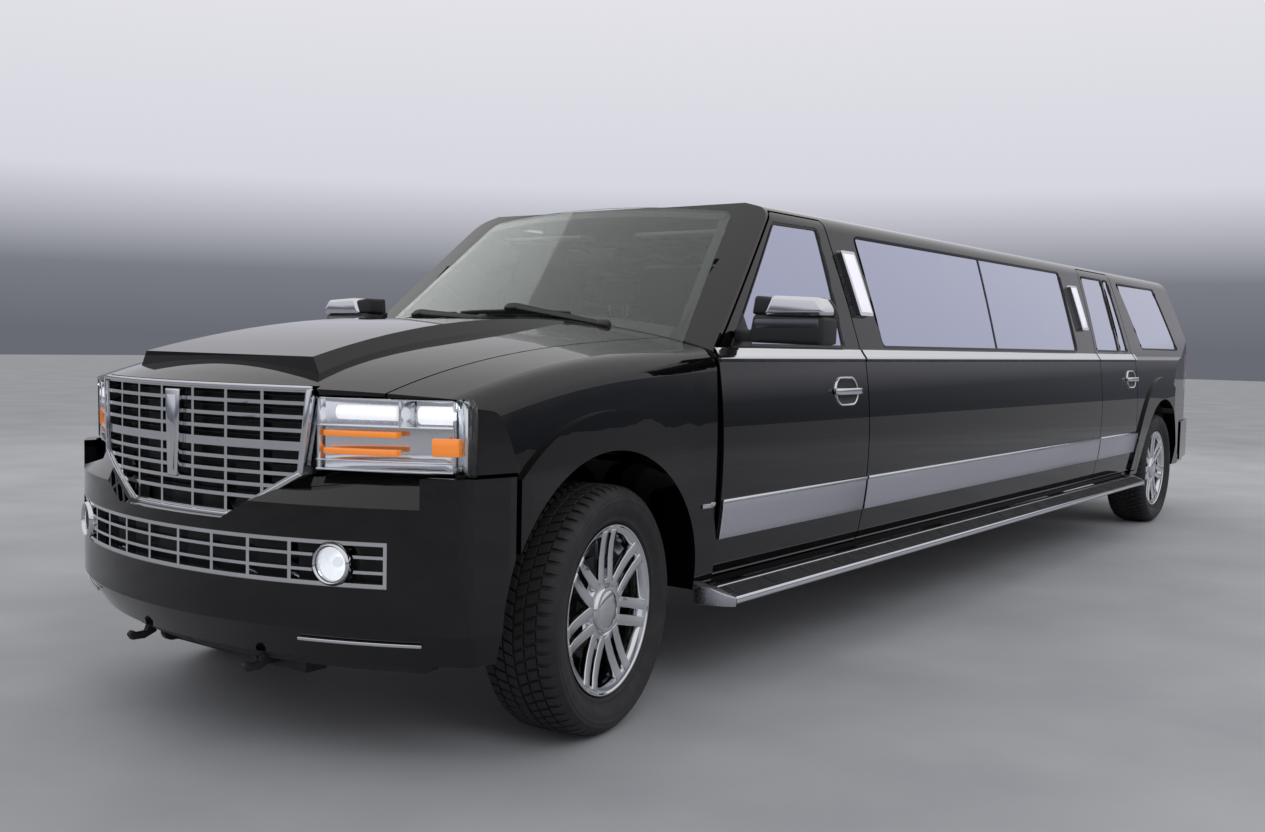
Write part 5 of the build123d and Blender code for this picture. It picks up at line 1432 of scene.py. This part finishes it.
CUSHION = [(2.338, 0.700), (2.338, 0.778), (2.275, 0.800), (1.858, 0.765), (1.858, 0.700)]
BACKREST = [(1.900, 0.790), (1.822, 0.790), (1.692, 1.412), (1.752, 1.412)]
HEADREST = [(1.742, 1.445), (1.688, 1.445), (1.668, 1.580), (1.722, 1.580)]
PLINTH = [(2.290, CABIN_FLOOR), (2.290, 0.640), (2.320, 0.690), (1.860, 0.690), (1.850, 0.600),
          (1.850, CABIN_FLOOR)]
cushion = pad_from("cushion", CUSHION, -0.242, 0.242, 0.028)
channelled(cushion, "y", (-0.150, 0.150), (1.80, -1, 0.760), (2.40, 1, 1))
channelled(cushion, "x", (1.980, 2.070, 2.160), (0, -0.148, 0.760), (9, 0.148, 1), 0.006)
backrest = pad_from("backrest", BACKREST, -0.222, 0.222, 0.030)
channelled(backrest, "y", (-0.135, 0.135), (1.0, -1, 0.80), (2.40, 1, 1.38))
channelled(backrest, "z", (0.940, 1.040, 1.140, 1.240), (1.70, -0.133, 0), (9, 0.133, 2), 0.006)
headrest = pad_from("headrest", HEADREST, -0.115, 0.115, 0.024)
plinth = rounded(side_slab("plinth", PLINTH, -0.205, 0.205), 0.014, 3)
posts = [bar("post", (1.703, y - 0.006, 1.395), (1.715, y + 0.006, 1.470)) for y in (-0.055, 0.055)]
posts = rounded(joined("posts", *posts), 0.004, 3)
for name, sign in SIDES:
    place = Matrix.Translation((0, sign * SEAT_Y, 0))
    for part, label in ((cushion, "cushion"), (backrest, "backrest"), (headrest, "headrest")):
        upholstered(copied(part, f"front_seat_{label}_{name}", place), "front_seats")
    finished(copied(plinth, f"front_seat_plinth_{name}", place), black_plastic, "body", "dash", "front_seats")
    finished(copied(posts, f"headrest_posts_{name}", place), chrome, "body", "chrome")
removed(cushion, backrest, headrest, plinth, posts)


# Cabin benches: leather pads in equal lengths down the right side and across the back, on plinths
# in the same leather, as coachbuilders fit them.

BENCH_START = 1.288
BENCH_PITCH = 0.5765
BENCH_SEATS = 5
BENCH_VOXEL = 0.020


def bench_pad(name, outline, length, round_by):
    """Pad of a (y, z) outline, this long, that starts at X = 0 and runs backwards."""
    return swelled(rounded(cross_slab(name, outline, -0.012, 0.012 - length), round_by, 4), BENCH_VOXEL)


SEAT_SIDE = [(-0.840, 0.640), (-0.352, 0.640), (-0.352, 0.808), (-0.700, 0.822), (-0.840, 0.822)]
BACK_SIDE = [(-0.838, 0.872), (-0.724, 0.872), (-0.768, 1.178), (-0.838, 1.178)]
PLINTH_SIDE = [(-0.858, CABIN_FLOOR), (-0.385, CABIN_FLOOR), (-0.370, 0.560), (-0.345, 0.640), (-0.858, 0.640)]
REAR_SEAT = [(-2.650, 0.790), (-2.650, 0.948), (-2.700, 0.962), (-3.050, 0.930), (-3.050, 0.790)]
REAR_BACK = [(-3.060, 0.975), (-3.172, 0.975), (-3.230, 1.378), (-3.166, 1.378)]
REAR_PLINTH = [(-2.670, REAR_FLOOR), (-2.645, 0.790), (-3.150, 0.790), (-3.160, REAR_FLOOR)]
seat_pad = bench_pad("seat_pad", SEAT_SIDE, BENCH_PITCH, 0.040)
channelled(seat_pad, "x", (-0.195, -0.385), (-1, -1, 0.79), (1, 1, 2), 0.008, 0.010)
back_pad = bench_pad("back_pad", BACK_SIDE, BENCH_PITCH, 0.030)
channelled(back_pad, "x", (-0.195, -0.385), (-1, -0.79, 0.87), (1, 1, 1.17), 0.008, 0.010)
for index in range(BENCH_SEATS):
    place = Matrix.Translation((BENCH_START - index * BENCH_PITCH, 0, 0))
    for part, label in ((seat_pad, "seat"), (back_pad, "back")):
        upholstered(copied(part, f"bench_{label}_{index + 1}", place), "cabin_seats")
removed(seat_pad, back_pad)
bench_end = BENCH_START - BENCH_SEATS * BENCH_PITCH
side_plinth = rounded(cross_slab("bench_plinth", PLINTH_SIDE, BENCH_START, bench_end), 0.008, 3)
finished(side_plinth, charcoal_leather, "body", "seat_leather", "cabin_seats")

rear_seat = pad_from("rear_seat", REAR_SEAT, 0.014, 0.606, 0.036, BENCH_VOXEL)
rear_back = pad_from("rear_back", REAR_BACK, 0.014, 0.606, 0.028, BENCH_VOXEL)
for part, label in ((rear_seat, "seat"), (rear_back, "back")):
    channelled(part, "y", (0.210, 0.410), (-3.162, 0, 0.90), (0, 1, 2), 0.008, 0.010)
    for name, made in (("left", part), ("right", mirrored(part, "other"))):
        made.name = f"rear_bench_{label}_{name}"
        upholstered(made, "cabin_seats")
rear_plinth = rounded(side_slab("rear_bench_plinth", REAR_PLINTH, -0.615, 0.615), 0.008, 3)
finished(rear_plinth, charcoal_leather, "body", "seat_leather", "cabin_seats")


# Dashboard fittings: instrument hood with two dials, louvred vents, a dark screen, and the padded
# boss and spokes of the steering wheel.

WHEEL_HUB = (2.280, 0.400, 1.120)
COLUMN_TURN = radians(118.0)
DASH_FACE = 2.4135
DIAL_TURN = pi + 0.20
VENT_SLATS = (1.072, 1.085, 1.098, 1.111)
HOOD_SIDE = [(2.428, 1.150), (2.412, 1.228), (2.452, 1.266), (2.610, 1.246), (2.620, 1.200)]
hood_piece = rounded(side_slab("instrument_hood", HOOD_SIDE, 0.215, 0.585), 0.016, 4)
finished(hood_piece, dash_plastic, "body", "dash")
DIAL = [(0.000, 0.0000), (0.002, 0.0000), (0.002, 0.0430), (0.007, 0.0450), (0.009, 0.0480), (0.007, 0.0510),
        (0.000, 0.0520)]
for index, y in enumerate((0.335, 0.465)):
    dial = spun("dial", DIAL, 40)
    place = Matrix.Translation((2.419, y, 1.196)) @ Matrix.Rotation(DIAL_TURN, 4, "Y")
    finished(copied(dial, f"dial_{index + 1}", place), chrome, "body", "chrome")
    removed(dial)
for index, y in enumerate((-0.690, -0.140, 0.140, 0.690)):
    frame_parts = [bar("rim", (DASH_FACE, y - 0.062, z), (DASH_FACE + 0.020, y + 0.062, z + 0.006))
                   for z in (1.058, 1.124)]
    frame_parts += [bar("rim", (DASH_FACE, side, 1.058), (DASH_FACE + 0.020, side + 0.006, 1.130))
                    for side in (y - 0.062, y + 0.056)]
    frame_parts += [bar("slat", (DASH_FACE + 0.002, y - 0.058, z), (DASH_FACE + 0.018, y + 0.058, z + 0.003))
                    for z in VENT_SLATS]
    vent = rounded(joined("vent", *frame_parts), 0.001)
    finished(vent, black_plastic, "body", "dash").name = f"dash_vent_{index + 1}"
screen_piece = bar("dash_screen", (2.4080, -0.066, 1.040), (2.4300, 0.066, 1.140))
finished(rounded(screen_piece, 0.004, 3), satin_grey, "body", "dash")

boss = rounded(bar("boss", (-0.075, -0.098, -0.044), (0.070, 0.098, -0.010)), 0.016, 4)
spokes = [bar("spoke", (-0.022, side * 0.130 - 0.046, -0.012), (0.016, side * 0.130 + 0.046, 0.004))
          for side in (1, -1)]
spokes = [rounded(made, 0.006, 3) for made in spokes]
wheel_pad = joined("steering_wheel_pad", boss, *spokes)
wheel_pad.matrix_world = Matrix.Translation(WHEEL_HUB) @ Matrix.Rotation(COLUMN_TURN, 4, "Y")
finished(settle(wheel_pad), charcoal_leather, "body", "dash")
finish_nodes(charcoal_leather, "steering_wheel")


# Door cards: stitched vinyl boards clipped inside each door, with an armrest and a bright pull.

DOOR_DEPTH = 0.0705
CARD_LOW = 0.480
CARD_HIGH = 1.205
CARDS = {"front_door": [(2.850, 0.480), (2.850, 1.160), (2.800, 1.205), (1.815, 1.205), (1.815, 0.480)],
         "rear_door": [(-1.725, 0.480), (-1.725, 1.205), (-2.440, 1.205), (-2.440, 0.760), (-2.560, 0.480)]}
for carrier, outline in CARDS.items():
    card = rounded(side_slab("card", outline, 0, -0.009), 0.004)
    cut_across(card, "Z", steps_between(CARD_LOW, CARD_HIGH, 9))
    middle = (outline[0][0] + outline[3][0]) / 2
    rest = rounded(bar("rest", (middle - 0.240, -0.052, 0.880), (middle + 0.240, 0.0, 0.930)), 0.016, 4)
    card = joined("card", card, rest)
    pull = rounded(bar("pull", (middle + 0.120, -0.022, 1.040), (middle + 0.250, -0.008, 1.060)), 0.006, 3)
    on_both_sides(beside(card, -DOOR_DEPTH), f"door_card_{carrier}", charcoal_leather, "seat_leather", carrier)
    on_both_sides(beside(pull, -DOOR_DEPTH), f"inner_pull_{carrier}", chrome, "chrome", carrier)


# Bar: walnut cabinet with panelled doors, plated knobs, a black stone top and six cut tumblers.

BAR_ENDS = (1.055, -1.060)
BAR_PANELS = 5
TUMBLERS = 6
TUMBLER_PITCH = 0.095
panel_length = (BAR_ENDS[0] - BAR_ENDS[1]) / BAR_PANELS
fronts = []
knobs = []
KNOB = [(0.0000, 0.0000), (0.0000, 0.0060), (0.0080, 0.0050), (0.0110, 0.0095), (0.0160, 0.0115),
        (0.0200, 0.0090), (0.0215, 0.0000)]
knob = spun("knob", KNOB, 20)
knob.rotation_euler.z = -pi / 2
settle(knob)
for index in range(BAR_PANELS):
    start = BAR_ENDS[0] - index * panel_length
    fronts.append(rounded(bar("door", (start - panel_length + 0.006, 0.466, 0.520),
                              (start - 0.006, 0.4802, 1.060)), 0.003))
    fronts.append(rounded(bar("field", (start - panel_length + 0.060, 0.460, 0.580),
                              (start - 0.060, 0.470, 1.000)), 0.005, 3))
    knobs.append(copied(knob, "knob_copy", Matrix.Translation((start - 0.034, 0.466, 0.790))))
removed(knob)
# bands of lighter and darker wood, coarser than real grain so that they show
grain_bands = waves(walnut, 38.0, "Z", Distortion=6.0, Detail=4.0, **{"Detail Scale": 1.4})
coloured(walnut, grain_bands, [(0.1, "#2a170e"), (0.6, "#4a2d1c"), (0.95, "#5d3b26")])
finished(joined("bar_fronts", *fronts), walnut, "body", "cabinet_wood")
finished(joined("bar_knobs", *knobs), chrome, "body", "chrome")
# deep polished black with small grey flecks
black_stone = material("polished_black_granite", "#0d0d0f", roughness=0.08, coat_weight=0.4)
coloured(black_stone, noise(black_stone, 5.0, 6.0), [(0.55, "#0c0c0e"), (0.72, "#3a3a40")])
top = bar("bar_top", (BAR_ENDS[1] - 0.004, 0.462, 1.0803), (BAR_ENDS[0] + 0.004, 0.858, 1.0990))
finished(rounded(top, 0.005, 3), black_stone, "body", "cabinet_wood")
TUMBLER = [(0.0000, 0.0000), (0.0000, 0.0270), (0.0040, 0.0290), (0.0850, 0.0350), (0.0870, 0.0340),
           (0.0850, 0.0325), (0.0140, 0.0265), (0.0120, 0.0000)]
tumbler = spun("tumbler", TUMBLER, 24)
tumbler.rotation_euler.y = -pi / 2
settle(tumbler)
glasses = []
for index in range(TUMBLERS):
    place = Matrix.Translation((0.30 - TUMBLER_PITCH * index, 0.640 + 0.06 * (index % 2), 1.0993))
    glasses.append(copied(tumbler, "tumbler_copy", place))
removed(tumbler)
# clear glass with cut facets that break up what lies behind
crystal = material("cut_crystal", "#f2f6f7", roughness=0.02, transmission_weight=1.0)
bumpy(crystal, 0.3, 0.5, 6.0, 1.0)
finished(joined("bar_tumblers", *glasses), crystal, "body", "clear_glass")


# Partition frame: plated angle strips screwed to the partition, round its window.

FRAME_X = (1.5552, 1.5620)
trim = [bar("trim", (FRAME_X[0], -0.500, z), (FRAME_X[1], 0.500, z + 0.018)) for z in (1.250, 1.642)]
trim += [bar("trim", (FRAME_X[0], y, 1.252), (FRAME_X[1], y + 0.018, 1.658)) for y in (-0.500, 0.482)]
frame_trim = rounded(joined("partition_frame", *trim), 0.003)
finished(frame_trim, chrome, "body", "chrome")
